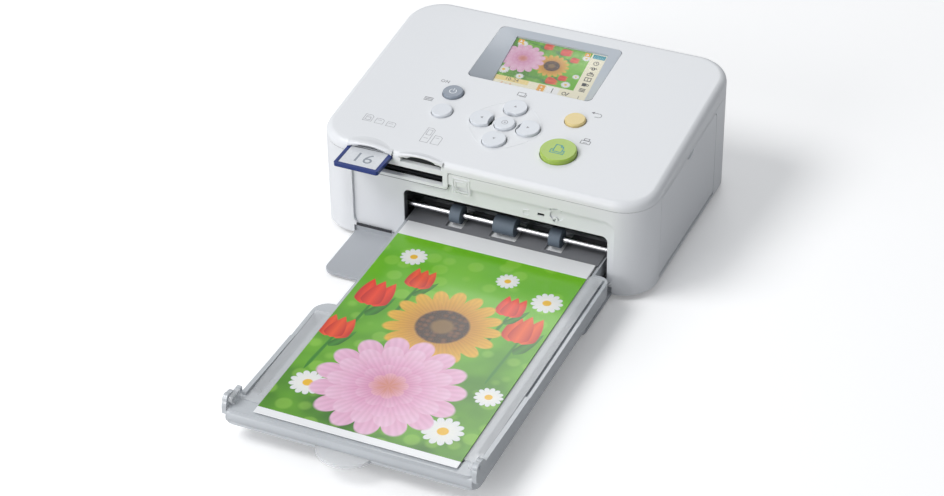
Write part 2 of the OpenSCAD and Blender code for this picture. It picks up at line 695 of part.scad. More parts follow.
module thermal_head() placed() color("saddlebrown") {
  x0 = plate_x0 + plate_t + 0.5;
  x1 = plate_x1 - plate_t - 0.5;
  translate([head_x0, -4, cart_z0 + 1.6]) cube([head_w, 8, 4]);
  for (x = [x0, x1 - 2]) side_slab(x, 2) hull() {
    translate(head_pivot) circle(0.6 + journal_r, $fn = 32);
    translate([-3, cart_z1 + 0.6]) square([6, 2.8]);
  }
  translate([x0, -4, cart_z1 + 0.6]) cube([x1 - x0, 8, 1.2]);
  along_x(plate_x0 - 0.8, plate_x1 + 0.8, head_pivot, head_pin_r);
}

module head_heatsink() placed() color("silver") for (y = [-3.8, -1.4, 1, 3.4 - 0.6])
  translate([head_x0 + 1, y, cart_z0 + 5.6]) cube([head_w - 2, 1, cart_z1 - cart_z0 - 5]);

// ---- ribbon cartridge ----

module cartridge_shell() placed() color("silver") difference() {
  union() {
    for (y = [[cart_y0, supply], [cart_y1, takeup]]) hull() {
      along_x(cart_x0, cart_x1, y[1], spool_r + cart_wall + 0.4);
      translate([cart_x0, min(y[0], y[1][0]), cart_z0]) cube([cart_x1 - cart_x0, abs(y[0] - y[1][0]), 4]);
    }
    for (x = [cart_x0, head_x0 + head_w + 3.4])
      translate([x, cart_y0 + 6, cart_z0]) cube([x < 0 ? cart_wall : cart_x1 - x, cart_y1 - cart_y0 - 12, 17]);
  }
  for (s = [supply, takeup]) {
    along_x(cart_x0 + cart_wall, cart_x1 - cart_wall, s, spool_r + 0.4);
    along_x(cart_x0 - 1, cart_x1 + 1, s, 2 + run_gap);
  }
  // the film leaves and enters through slots facing the head
  for (s = [-1, 1]) translate([cart_x0 + 3, s < 0 ? -11 : 9 - 1, cart_z0 - 1])
    cube([head_w + 6, 3, 8]);
  // grip recess in the outer end
  translate([cart_x1 - 3, -3, cart_z0 + 2]) cube([4, 8, 13]);
}

module spool(at) {
  along_x(cart_x0 + cart_wall + 0.4, cart_x1 - cart_wall - 0.4, at, spool_hub_r);
  along_x(cart_x0 - 0.6, cart_x1 - 0.1, at, 2);
  along_x(head_x0 - 2, head_x0 + head_w, at, spool_r - 1);
}

module supply_spool() placed() color("black") spool(supply);
module takeup_spool() placed() color("black") spool(takeup);

// ---- doors ----

module ink_door() placed() color("whitesmoke") difference() {
  union() {
    side_slab(side_x - door_t, door_t) door_shape(door_gap);
    translate([door_pin_x, door_y0 + door_gap, door_pin_z]) rotate([-90, 0, 0])
      cylinder(r = 1.7, h = door_y1 - door_y0 - 2 * door_gap);
    translate([door_pin_x, door_y0 - 2.4, door_pin_z]) rotate([-90, 0, 0])
      cylinder(r = door_pin_r, h = door_y1 - door_y0 + 4.8);
  }
  // finger notch in the upper edge
  translate([side_x - 1.2, -4, seam_z(-4) + 2]) rotate([0, 90, 0]) cylinder(r = 6, h = 4);
  // lower edge rounded about the hinge
  difference() {
    translate([door_pin_x, door_y0 - 1, foot_h]) cube([6, door_y1 - door_y0 + 2, door_pin_z - foot_h]);
    translate([door_pin_x, door_y0 - 4, door_pin_z]) rotate([-90, 0, 0])
      cylinder(r = side_x - door_pin_x, h = door_y1 - door_y0 + 8);
  }
}

module front_door() placed() color("gainsboro") difference() {
  union() {
    translate([0, 0, flap_top - flap_t]) linear_extrude(flap_t)
      soft_rect(flap_x0, flap_pin_y - flap_l, flap_x1, flap_pin_y + 8, 5);
    along_x(flap_x0, flap_x1, [flap_pin_y, flap_pin_z], 1.7);
    translate([flap_x0, flap_pin_y - 1.7, flap_top - flap_t]) cube([flap_x1 - flap_x0, 3.4, flap_pin_z - flap_top + flap_t]);
    along_x(flap_x0 - 2.6, flap_x1 + 2.6, [flap_pin_y, flap_pin_z], flap_pin_r);
  }
  translate([flap_x0 - 1, flap_pin_y + 1.7, 0]) cube([flap_x1 - flap_x0 + 2, 10, 20]);
}

module mouth_frame() placed() color("dimgray") difference() {
  front_slab(front_plane + wall + 0.1, 3.4)
    soft_rect(mouth_x0 - 1.6, mouth_z0 - 1.5, mouth_x1 + 1.6, mouth_z1 + 2, 4);
  front_slab(front_plane + wall - 1, 6) difference() {
    soft_rect(mouth_x0, mouth_z0, mouth_x1, mouth_z1, 3);
    for (x = [mouth_x0 + 8, mouth_x1 - 12]) translate([x, mouth_z0 - 1]) square([4, tray_z - mouth_z0 + 0.85]);
  }
}

// ---- cassette ----

module tray_outline() {
  // narrow rear part and the two wings of the front part
  translate([tray_x - tray_w / 2, tray_front + 4]) square([tray_w, tray_l - 4]);
  soft_rect(tray_x - wing_left + wing_step, tray_front, tray_x + 20, tray_front + wing_len_left, 8);
  soft_rect(tray_x - wing_left, tray_front, tray_x, tray_front + 16, 5);
  soft_rect(tray_x - 20, tray_front, tray_x + wing_right, tray_front + wing_len_right, 5);
}

module cassette_body() placed() color("lightgray") {
  difference() {
    translate([0, 0, tray_z]) linear_extrude(tray_h) tray_outline();
    translate([tray_x - paper_w / 2 - 0.6, tray_front + 8, tray_z + tray_wall])
      cube([paper_w + 1.2, tray_l - 8 - tray_wall, tray_h]);
    // ledges of the wings
    translate([tray_x - wing_left + wing_step + 2, tray_front + 16, tray_z + 2.4])
      cube([wing_left - wing_step - tray_w / 2 - 3.6, wing_len_left - 26, tray_h]);
    translate([tray_x + tray_w / 2 + 1.6, tray_front + 16, tray_z + 2.4])
      cube([wing_right - tray_w / 2 - 3.2, wing_len_right - 19, tray_h]);
  }
  // side walls that dip towards the middle, and the tall front ears
  for (s = [-1, 1]) {
    x = s < 0 ? tray_x - wing_left : tray_x + wing_right - 2.2;
    side_slab(x, 2.2) difference() {
      union() {
        translate([tray_front + 5.5, tray_z + ear_h - 5.5]) circle(5.5);
        translate([tray_front, tray_z + 5]) square([11, ear_h - 10.5]);
        translate([tray_front + 5.5, tray_z + 3]) square([10, ear_h - 6.5]);
        translate(lid_pin) circle(lid_pin_r + 1.4);
      }
      translate(lid_pin) circle(lid_pin_r + run_gap);
    }
    side_slab(s < 0 ? x + wing_step : x, 2.2) polygon([[tray_front + 12, tray_z + 3], [tray_front + 60, tray_z + 3],
      [tray_front + 60, tray_z + 8.6], [tray_front + 34, tray_z + 9.2], [tray_front + 12, tray_z + ear_h - 3.4]]);
  }
  // rounded front bar and finger tab
  along_x(tray_x - wing_left + 2, tray_x + wing_right - 2, [tray_front + 3.6, tray_z + bar_h - 4.4], 4.3);
  translate([0, 0, tray_z]) linear_extrude(1.6) intersection() {
    translate([tray_x - tab_aside, tray_front + 6]) circle(tab_reach + 6);
    translate([tray_x - 30, tray_front - tab_reach]) square([60, tab_reach + 6]);
  }
}

// clear lid under the print, hinged on pins in the front ears
module cassette_lid() placed() color("lightgray", 0.6) {
  z0 = tray_top + 0.3;
  translate([tray_x - paper_w / 2, tray_front + 9, z0]) cube([paper_w, lid_l, 0.4]);
  // strips over the two wings
  left_x = tray_x - wing_left + wing_step + 2.6;
  translate([left_x, tray_front + 9, z0]) cube([tray_x - paper_w / 2 + 0.1 - left_x, wing_len_left - 17, 0.4]);
  translate([tray_x + paper_w / 2 - 0.1, tray_front + 9, z0])
    cube([wing_right - paper_w / 2 - 2.5, wing_len_right - 12, 0.4]);
  translate([tray_x - wing_left + 2.6, tray_front + 9, z0]) cube([wing_step + 1, 2.2, 0.4]);
  for (s = [-1, 1]) {
    x = s < 0 ? tray_x - wing_left : tray_x + wing_right;
    side_slab(s < 0 ? x + 2.6 : x - 4.6, 2) {
      translate(lid_pin) circle(lid_pin_r + 0.6);
      translate([lid_pin[0], z0 + 0.1]) square([tray_front + 9.6 - lid_pin[0], lid_pin[1] - z0 + 1.5]);
    }
    along_x(s < 0 ? x + 0.4 : x - 3.6, s < 0 ? x + 3.6 : x - 0.4, lid_pin, lid_pin_r);
  }
}

module lift_plate() placed() color("silver")
  translate([tray_x - paper_w / 2 + 8, tray_rear - 60, tray_z + tray_wall + 0.1]) cube([paper_w - 16, 50, 0.8]);

module paper_stack() placed() color("white")
  translate([tray_x - paper_w / 2, tray_rear - 2.6 - stack_l, tray_z + tray_wall + 1]) cube([paper_w, stack_l, stack_h]);

module print_sheet() placed() color("yellowgreen")
  translate([tray_x - paper_w / 2, print_front, print_z]) cube([paper_w, sheet_l, sheet_t]);

// ---- buttons ----

module round_button(at, r, proud, flange) on_top(at, 0) {
  translate([0, 0, -wall - 1.4]) cylinder(r = r, h = wall + 1.4 + proud - 0.5);
  translate([0, 0, proud - 0.6]) cylinder(r1 = r, r2 = r - 0.5, h = 0.6);
  translate([0, 0, -wall - 1.4]) cylinder(r = r + flange, h = 1.2);
  translate([0, 0, -board_drop + 3.7]) cylinder(r = stem_r, h = board_drop - 3.7 - wall);
}

module key_button(k) {
  on_top(ok_at, 0) {
    translate([0, 0, -wall - 1.4]) linear_extrude(wall + 1.4 + button_proud) direction_key(k, 0);
    translate([0, 0, -wall - 1.4]) linear_extrude(1.2) direction_key(k, -0.8);
  }
  on_top(key_at(k), -board_drop + 3.7) cylinder(r = stem_r, h = board_drop - 3.7 - wall);
}

module power_button() placed() color("slategray") round_button(power_at, button_r, button_proud, 0.8);
module menu_button() placed() color("white") round_button(menu_at, button_r, button_proud, 0.8);
module back_button() placed() color("khaki") round_button(back_at, button_r, button_proud, 0.8);
module print_button() placed() color("yellowgreen") round_button(print_at, print_r, print_proud, 0.8);
module ok_button() placed() color("white") round_button(ok_at, button_r, button_proud, 0.4);
module up_button() placed() color("white") key_button(0);
module left_button() placed() color("white") key_button(1);
module down_button() placed() color("white") key_button(2);
module right_button() placed() color("white") key_button(3);

base_case();
housing();
top_cover();
screen_bezel();
screen_panel();
screen_window();
control_board();
switches();
main_board();
usb_ports();
dc_jack();
card_reader();
memory_card();
feet();
case_screws();
left_plate();
right_plate();
cross_stays();
pickup_shaft();
pickup_rollers();
pickup_gear();
platen_roller();
platen_gear();
capstan_roller();
capstan_gear();
pinch_roller();
thermal_head();
head_heatsink();
feed_motor();
motor_pinion();
drive_gear();
idler_gear_front();
idler_gear_rear();
gear_posts();
cartridge_shell();
supply_spool();
takeup_spool();
ink_door();
front_door();
mouth_frame();
cassette_body();
cassette_lid();
lift_plate();
paper_stack();
print_sheet();
power_button();
menu_button();
back_button();
print_button();
ok_button();
up_button();
down_button();
left_button();
right_button();
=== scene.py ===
import json
import math

import bmesh
import bpy
from mathutils import Matrix, Vector


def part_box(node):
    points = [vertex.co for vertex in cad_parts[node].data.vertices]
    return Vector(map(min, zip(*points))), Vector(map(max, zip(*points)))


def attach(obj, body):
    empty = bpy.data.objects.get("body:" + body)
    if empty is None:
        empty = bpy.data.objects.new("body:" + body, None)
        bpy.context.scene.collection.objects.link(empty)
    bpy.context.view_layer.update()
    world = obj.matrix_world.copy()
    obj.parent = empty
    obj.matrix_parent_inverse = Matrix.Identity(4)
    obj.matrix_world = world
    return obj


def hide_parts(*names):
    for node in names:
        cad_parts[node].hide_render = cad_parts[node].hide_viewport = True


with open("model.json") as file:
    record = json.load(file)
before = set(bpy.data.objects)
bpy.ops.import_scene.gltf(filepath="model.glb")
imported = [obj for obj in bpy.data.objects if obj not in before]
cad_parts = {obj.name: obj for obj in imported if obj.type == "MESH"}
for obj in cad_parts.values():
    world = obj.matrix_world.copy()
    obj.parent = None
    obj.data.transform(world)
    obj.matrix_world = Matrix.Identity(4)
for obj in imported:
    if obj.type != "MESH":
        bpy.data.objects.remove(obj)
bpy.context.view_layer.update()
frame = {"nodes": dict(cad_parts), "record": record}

print("stage: frame loaded")

mm = 0.001
housingLow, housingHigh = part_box("housing")
frontY = housingLow.y
middleY = (housingLow.y + housingHigh.y) / 2

# the body's sloped top, as the frame has it
topSizes = dict(front=56.1 * mm, back=67.7 * mm, depth=housingHigh.y - housingLow.y)
slope = math.atan((topSizes["back"] - topSizes["front"]) / topSizes["depth"])


def topAt(x, y, lift=0.0):
    z = topSizes["front"] + (y - frontY) * math.tan(slope)
    return Vector((x, y - lift * math.sin(slope), z + lift * math.cos(slope)))


# ---- camera, lights and floor ----
cameraSizes = dict(azimuth=24.333, elevation=35.156, roll=-0.857, distance=1252.35 * mm,
                   target=(-6.77 * mm, -50.99 * mm, 0.0), focal=2498.83, imageWidth=944)


def makeCamera(s):
    a, e, r = (math.radians(s[k]) for k in ("azimuth", "elevation", "roll"))
    back = Vector((math.sin(a) * math.cos(e), -math.cos(a) * math.cos(e), math.sin(e)))
    right = Vector((0, 0, 1)).cross(back).normalized()
    up = back.cross(right)
    turnedRight = right * math.cos(r) + up * math.sin(r)
    turnedUp = up * math.cos(r) - right * math.sin(r)
    camera = bpy.data.objects.new("photoCamera", bpy.data.cameras.new("photoCamera"))
    bpy.context.scene.collection.objects.link(camera)
    place = Matrix((turnedRight, turnedUp, back)).transposed().to_4x4()
    place.translation = Vector(s["target"]) + Vector((aside, middleY, 0)) + back * s["distance"]
    camera.matrix_world = place
    camera.data.sensor_width = 36
    camera.data.lens = s["focal"] / s["imageWidth"] * 36
    camera.data.clip_start, camera.data.clip_end = 0.02, 60
    bpy.context.scene.camera = camera


def makeLamp(name, at, aim, size, watts, colour):
    lamp = bpy.data.lights.new(name, "AREA")
    lamp.shape, lamp.size, lamp.energy, lamp.color = "DISK", size, watts, colour
    holder = bpy.data.objects.new(name, lamp)
    bpy.context.scene.collection.objects.link(holder)
    holder.location = at
    holder.rotation_euler = (Vector(aim) - Vector(at)).to_track_quat("-Z", "Y").to_euler()


def makeWorld(strength):
    world = bpy.data.worlds.new("paleRoom")
    bpy.context.scene.world = world
    world.use_nodes = True
    tree = world.node_tree
    tree.nodes.clear()
    out = tree.nodes.new("ShaderNodeOutputWorld")
    mix = tree.nodes.new("ShaderNodeMixShader")
    dim, white = tree.nodes.new("ShaderNodeBackground"), tree.nodes.new("ShaderNodeBackground")
    dim.inputs["Color"].default_value = (0.93, 0.96, 1, 1)
    dim.inputs["Strength"].default_value = strength
    white.inputs["Color"].default_value = (1, 1, 1, 1)
    path = tree.nodes.new("ShaderNodeLightPath")
    seen = tree.nodes.new("ShaderNodeMath")
    seen.operation = "MAXIMUM"
    tree.links.new(path.outputs["Is Camera Ray"], seen.inputs[0])
    tree.links.new(path.outputs["Is Transmission Ray"], seen.inputs[1])
    tree.links.new(seen.outputs[0], mix.inputs[0])
    tree.links.new(dim.outputs[0], mix.inputs[1])
    tree.links.new(white.outputs[0], mix.inputs[2])
    tree.links.new(mix.outputs[0], out.inputs[0])


# ---- shader maths ----
class Sock:
    def __init__(self, shade, out):
        self.shade, self.out = shade, out

    def maths(self, operation, *others):
        return self.shade.node("ShaderNodeMath", dict(operation=operation), [self, *others])

    def __add__(self, other): return self.maths("ADD", other)
    def __sub__(self, other): return self.maths("SUBTRACT", other)
    def __mul__(self, other): return self.maths("MULTIPLY", other)
    def __truediv__(self, other): return self.maths("DIVIDE", other)
    def __pow__(self, other): return self.maths("POWER", other)
    def __gt__(self, other): return self.maths("GREATER_THAN", other)
    def __lt__(self, other): return self.maths("LESS_THAN", other)
    def __radd__(self, other): return self.maths("ADD", other)
    def __rmul__(self, other): return self.maths("MULTIPLY", other)

    def __rsub__(self, other):
        return self.shade.node("ShaderNodeMath", dict(operation="SUBTRACT"), [other, self])

    def __rtruediv__(self, other):
        return self.shade.node("ShaderNodeMath", dict(operation="DIVIDE"), [other, self])

    def most(self, other): return self.maths("MAXIMUM", other)
    def root(self): return self.maths("SQRT")
    def size(self): return self.maths("ABSOLUTE")
    def sine(self): return self.maths("SINE")

    def step(self, low, high):
        return self.shade.node("ShaderNodeMapRange", dict(interpolation_type="SMOOTHSTEP"),
                               {"Value": self, "From Min": low, "From Max": high})


class Shade:
    def __init__(self, name):
        self.material = bpy.data.materials.new(name)
        self.material.use_nodes = True
        self.tree = self.material.node_tree
        self.tree.nodes.clear()
        self.output = self.tree.nodes.new("ShaderNodeOutputMaterial")
        self.surface = self.tree.nodes.new("ShaderNodeBsdfPrincipled")
        self.tree.links.new(self.surface.outputs[0], self.output.inputs[0])
        self.coordinates = None

    def put(self, socket, value):
        if isinstance(value, Sock):
            self.tree.links.new(value.out, socket)
        elif hasattr(socket.default_value, "__len__") and hasattr(value, "__len__"):
            length = len(socket.default_value)
            socket.default_value = (list(value) + [1.0])[:length]
        else:
            socket.default_value = value

    def node(self, kind, settings=None, inputs=None, output=0):
        made = self.tree.nodes.new(kind)
        for key, value in (settings or {}).items():
            if key == "stops":
                ramp = made.color_ramp
                while len(ramp.elements) < len(value):
                    ramp.elements.new(0.5)
                for element, (place, colour) in zip(ramp.elements, value):
                    element.position, element.color = place, (*colour, 1)
            else:
                setattr(made, key, value)
        pairs = inputs.items() if isinstance(inputs, dict) else enumerate(inputs or [])
        for key, value in pairs:
            self.put(made.inputs[key], value)
        return Sock(self, made.outputs[output])

    def place(self):
        if self.coordinates is None:
            self.coordinates = self.node("ShaderNodeTexCoord", output="Object")
        return self.coordinates

    def axes(self):
        split = self.tree.nodes.new("ShaderNodeSeparateXYZ")
        self.put(split.inputs[0], self.place())
        return [Sock(self, split.outputs[k]) for k in range(3)]

    def noise(self, scale, detail=2.0, roughness=0.5, vector=None):
        return self.node("ShaderNodeTexNoise", {}, {"Vector": vector or self.place(), "Scale": scale,
                                                    "Detail": detail, "Roughness": roughness}, "Fac")

    def cells(self, scale, vector=None, jitter=1.0):
        return self.node("ShaderNodeTexVoronoi", dict(feature="F1"),
                         {"Vector": vector or self.place(), "Scale": scale, "Randomness": jitter}, "Distance")

    def mix(self, factor, first, second):
        made = self.tree.nodes.new("ShaderNodeMix")
        made.data_type = "RGBA"
        for key, value in ((0, factor), (6, first), (7, second)):
            self.put(made.inputs[key], value)
        return Sock(self, made.outputs[2])

    def bump(self, height, strength, distance=0.0002):
        made = self.node("ShaderNodeBump", {}, {"Strength": strength, "Distance": distance, "Height": height},
                         "Normal")
        self.put(self.surface.inputs["Normal"], made)

    def set(self, **values):
        for key, value in values.items():
            self.put(self.surface.inputs[key.replace("_", " ")], value)
        return self.material


def mouldedPlastic(name, colour, roughness, grain=0.35, coat=0.0, shift=0.02):
    s = Shade(name)
    broad = s.noise(14, 3)
    fine = s.noise(2600, 2, 0.6)
    darker = [c * (1 - shift * 2) for c in colour]
    lighter = [min(1, c * (1 + shift)) for c in colour]
    s.set(Base_Color=s.mix(broad, darker, lighter), Roughness=broad * 0.08 + fine * 0.06 + (roughness - 0.07))
    s.bump(fine, grain, 0.00006)
    return s.set(Coat_Weight=coat, Coat_Roughness=0.15) if coat else s.material


def platedSteel(name, colour=(0.62, 0.62, 0.64), roughness=0.24, along=(1, 60, 60)):
    s = Shade(name)
    scaled = s.node("ShaderNodeVectorMath", dict(operation="MULTIPLY"), [s.place(), along])
    lines = s.noise(60, 3, 0.6, scaled)
    darker, lighter = [c * 0.85 for c in colour], [min(1, c * 1.15) for c in colour]
    s.set(Metallic=1.0, Base_Color=s.mix(lines, darker, lighter), Roughness=lines * 0.16 + (roughness - 0.06))
    s.bump(lines, 0.15, 0.00003)
    return s.material


def groundRubber(name, colour, pitch=900, strength=0.6):
    s = Shade(name)
    pits = s.cells(pitch)
    dust = s.noise(40, 3)
    s.set(Base_Color=s.mix(dust, [c * 0.8 for c in colour], [c * 1.2 for c in colour]),
          Roughness=dust * 0.15 + 0.62)
    s.bump(pits, strength, 0.0002)
    return s.material


def clearPlastic(name, colour, alpha, roughness=0.12):
    s = Shade(name)
    haze = s.noise(30, 3)
    s.set(Base_Color=s.mix(haze, [c * 0.93 for c in colour], [min(1, c * 1.06) for c in colour]),
          Roughness=haze * 0.08 + roughness, Alpha=haze * 0.08 + (alpha - 0.04), IOR=1.5,
          Coat_Weight=0.5, Coat_Roughness=0.08)
    s.bump(s.noise(120, 2), 0.06, 0.0003)
    return s.material


# ---- finishes, one per material slot of the record ----
def layeredBoard(name):
    s = Shade(name)
    x, y = s.axes()[:2]
    tracks = ((x * 900).sine() * (y * 700).sine()).step(0.25, 0.4)
    s.set(Base_Color=s.mix(tracks * 0.5, (0.02, 0.13, 0.07), (0.1, 0.3, 0.16)), Roughness=tracks * 0.1 + 0.35,
          Coat_Weight=0.4)
    s.bump(tracks, 0.3, 0.0001)
    return s.material


def stackedPaper(name):
    s = Shade(name)
    z = s.axes()[2]
    fibre = s.noise(900, 3)
    sheets = (z * 9000).sine() * 0.5 + 0.5
    s.set(Base_Color=s.mix(fibre * 0.4 + sheets * 0.3, (0.86, 0.87, 0.88), (0.96, 0.96, 0.95)),
          Roughness=fibre * 0.1 + 0.5)
    s.bump(fibre, 0.2, 0.00003)
    return s.material


def rollerRubber(name):
    s = Shade(name)
    dust = s.noise(90, 3)
    s.set(Base_Color=s.mix(dust, (0.1, 0.13, 0.17), (0.15, 0.185, 0.23)), Roughness=dust * 0.15 + 0.55)
    s.bump(s.cells(1400), 0.5, 0.0001)
    return s.material


finishes = dict(
    shell_white=mouldedPlastic("shellWhite", (0.8, 0.815, 0.835), 0.42, grain=0.22, coat=0.12, shift=0.012),
    base_grey=mouldedPlastic("baseGrey", (0.47, 0.49, 0.52), 0.45, grain=0.25),
    bezel_grey=mouldedPlastic("bezelGrey", (0.49, 0.53, 0.58), 0.34, grain=0.18, coat=0.2),
    screen=mouldedPlastic("screenGlass", (0.03, 0.03, 0.035), 0.15),
    clear_window=clearPlastic("clearWindow", (0.92, 0.95, 0.97), 0.05, 0.05),
    circuit_green=layeredBoard("circuitGreen"),
    dark_plastic=mouldedPlastic("darkPlasticAndHingeShade", (0.035, 0.037, 0.042), 0.45, grain=0.3),
    steel=platedSteel("platedSteel"),
    roller_rubber=rollerRubber("rollerRubber"),
    foot_rubber=groundRubber("footRubber", (0.03, 0.03, 0.032)),
    gear_plastic=mouldedPlastic("gearPlastic", (0.68, 0.65, 0.56), 0.4),
    brass=platedSteel("turnedBrass", (0.72, 0.52, 0.24), 0.22),
    aluminium=platedSteel("extrudedAluminium", (0.72, 0.73, 0.74), 0.32, (60, 1, 60)),
    cartridge_grey=mouldedPlastic("cartridgeGrey", (0.17, 0.185, 0.21), 0.3, coat=0.2),
    clear_grey=clearPlastic("clearGrey", (0.6, 0.63, 0.66), 0.84, 0.14),
    paper=stackedPaper("stackedPaper"),
    photo_print=stackedPaper("plainPrint"),
    card_blue=mouldedPlastic("cardBlue", (0.006, 0.03, 0.2), 0.35, coat=0.2),
    button_white=mouldedPlastic("buttonWhite", (0.74, 0.77, 0.81), 0.36, grain=0.15, coat=0.2),
    button_slate=mouldedPlastic("buttonSlate", (0.27, 0.31, 0.37), 0.32, grain=0.15, coat=0.3),
    button_gold=mouldedPlastic("buttonGold", (0.78, 0.62, 0.27), 0.33, grain=0.15, coat=0.25),
    button_green=mouldedPlastic("buttonGreen", (0.36, 0.53, 0.07), 0.3, grain=0.12, coat=0.3),
)
slotOf = {part["node"]: part["material_slot"] for part in frame["record"]["subparts"]}
bodyOf = {node: body for body, members in frame["record"]["behaviour"]["bodies"].items() for node in members}
for nodeName, holder in frame["nodes"].items():
    holder.data.materials.clear()
    holder.data.materials.append(finishes[slotOf[nodeName]])
print("stage: materials")


def smoothByAngle(mesh, degrees=32):
    work = bmesh.new()
    work.from_mesh(mesh)
    limit = math.radians(degrees)
    for face in work.faces:
        face.smooth = True
    for edge in work.edges:
        edge.smooth = len(edge.link_faces) == 2 and edge.calc_face_angle(0) < limit
    work.to_mesh(mesh)
    work.free()


def closedMesh(work, name):
    bmesh.ops.recalc_face_normals(work, faces=work.faces)
    mesh = bpy.data.meshes.new(name)
    work.to_mesh(mesh)
    work.free()
    return mesh


def makePiece(name, mesh, body, slotName, material=None, stands=()):
    piece = bpy.data.objects.new(name, mesh)
    bpy.context.scene.collection.objects.link(piece)
    if material is not None or not mesh.materials:
        mesh.materials.clear()
        mesh.materials.append(material or finishes[slotName])
    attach(piece, body)
    if stands:
        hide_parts(*stands)
    return piece


def baked(holder):
    graph = bpy.context.evaluated_depsgraph_get()
    mesh = bpy.data.meshes.new_from_object(holder.evaluated_get(graph), depsgraph=graph)
    bpy.data.objects.remove(holder)
    return mesh


def held(data):
    holder = bpy.data.objects.new("working", data)
    bpy.context.scene.collection.objects.link(holder)
    return holder


def bevelled(mesh, width, segments=2, degrees=30):
    holder = held(mesh)
    bevel = holder.modifiers.new("bevel", "BEVEL")
    bevel.width, bevel.segments, bevel.limit_method = width, segments, "ANGLE"
    bevel.angle_limit = math.radians(degrees)
    bevel.use_clamp_overlap = True
    bevel.miter_outer = "MITER_ARC"
    return baked(holder)


def cadCopy(node, merge=4e-6, flat=0.4):
    work = bmesh.new()
    work.from_mesh(frame["nodes"][node].data)
    bmesh.ops.remove_doubles(work, verts=work.verts, dist=merge)
    if flat:
        bmesh.ops.dissolve_limit(work, angle_limit=math.radians(flat), verts=work.verts, edges=work.edges,
                                 use_dissolve_boundaries=False)
    mesh = bpy.data.meshes.new(node)
    work.to_mesh(mesh)
    work.free()
    return mesh


def weighted(mesh):
    # broad faces keep their own direction, so no crease runs over them from a rounded edge
    holder = held(mesh)
    even = holder.modifiers.new("even", "WEIGHTED_NORMAL")
    even.mode, even.weight, even.keep_sharp = "FACE_AREA", 100, True
    return baked(holder)


def isTorn(mesh):
    # a face with many holes can be drawn with its triangles over a hole
    mesh.calc_loop_triangles()
    drawn = sum(triangle.area for triangle in mesh.loop_triangles)
    return abs(drawn - sum(face.area for face in mesh.polygons)) > 1.5e-6


def finished(node, width=0.25 * mm, material=None, segments=2, degrees=30):
    mesh = bevelled(cadCopy(node), width, segments, degrees)
    if isTorn(mesh):
        print("kept its triangles:", node)
        mesh = bevelled(cadCopy(node, flat=0), width, segments, degrees)
    smoothByAngle(mesh, 40)
    mesh = weighted(mesh)
    return makePiece(node + "_finished", mesh, bodyOf[node], slotOf[node], material, (node,))


# ---- inked marks: thin flat shapes on a face, drawn in the face's own millimetres ----
def arc(u, v, r, start=0, end=360, n=28):
    closed = end - start >= 360
    steps = n if closed else n + 1
    turns = [math.radians(start + (end - start) * k / n) for k in range(steps)]
    return [(u + r * math.cos(t), v + r * math.sin(t)) for t in turns]


class Ink:
    def __init__(self, place, lift=0.03, sink=0.05):
        self.work, self.place, self.lift, self.sink = bmesh.new(), place, lift, sink

    def shape(self, points):
        lower = [self.work.verts.new(self.place(u, v, -self.sink)) for u, v in points]
        upper = [self.work.verts.new(self.place(u, v, self.lift)) for u, v in points]
        self.work.faces.new(upper)
        self.work.faces.new(lower[::-1])
        for k in range(len(points)):
            n = (k + 1) % len(points)
            self.work.faces.new((lower[k], lower[n], upper[n], upper[k]))
        return self

    def line(self, points, width, closed=False):
        count = len(points)
        left, right = [], []
        for k in range(count):
            here = Vector(points[k])
            before = Vector(points[k - 1]) if closed or k else None
            after = Vector(points[(k + 1) % count]) if closed or k < count - 1 else None
            ways = [w.normalized() for w in ((here - before) if before else None,
                                             (after - here) if after else None) if w]
            way = sum(ways, Vector((0, 0))).normalized()
            side = Vector((-way.y, way.x))
            reach = width / 2 / max(0.4, side.dot(Vector((-ways[0].y, ways[0].x))))
            left.append(here + side * reach)
            right.append(here - side * reach)
        for k in range(count if closed else count - 1):
            n = (k + 1) % count
            self.shape([right[k], right[n], left[n], left[k]])
        return self

    def ring(self, u, v, r, width, start=0, end=360):
        return self.line(arc(u, v, r, start, end), width, end - start >= 360)

    def box(self, u0, v0, u1, v1, width=None):
        corners = [(u0, v0), (u1, v0), (u1, v1), (u0, v1)]
        return self.line(corners, width, True) if width else self.shape(corners)

    def text(self, words, u, v, height, spacing=1.0):
        curve = bpy.data.curves.new("words", "FONT")
        curve.body, curve.size, curve.align_x, curve.align_y = words, height * 1.4, "CENTER", "CENTER"
        curve.space_character, curve.resolution_u = spacing, 3
        flat = bmesh.new()
        flat.from_mesh(baked(held(curve)))
        bmesh.ops.dissolve_limit(flat, angle_limit=0.01, verts=flat.verts, edges=flat.edges)
        for face in flat.faces:
            self.shape([(u + p.co.x, v + p.co.y) for p in face.verts])
        flat.free()
        return self

    def done(self, name, body, slotName, material):
        return makePiece(name, closedMesh(self.work, name), body, slotName, material)


# ---- the picture on the print and on the display: a flower bed in soft focus ----
pictureSizes = dict(
    width=100, height=147.5, border=4.4,
    daisies=[(13, 24, 9), (84, 16, 10), (90, 122, 8), (16, 132, 7), (66, 131, 6), (93, 46, 7)],
    tulips=[(12, 92, 9, 17), (27, 112, 7, 13), (88, 92, 9, 18), (76, 108, 7, 13), (7, 62, 8, 14)],
)


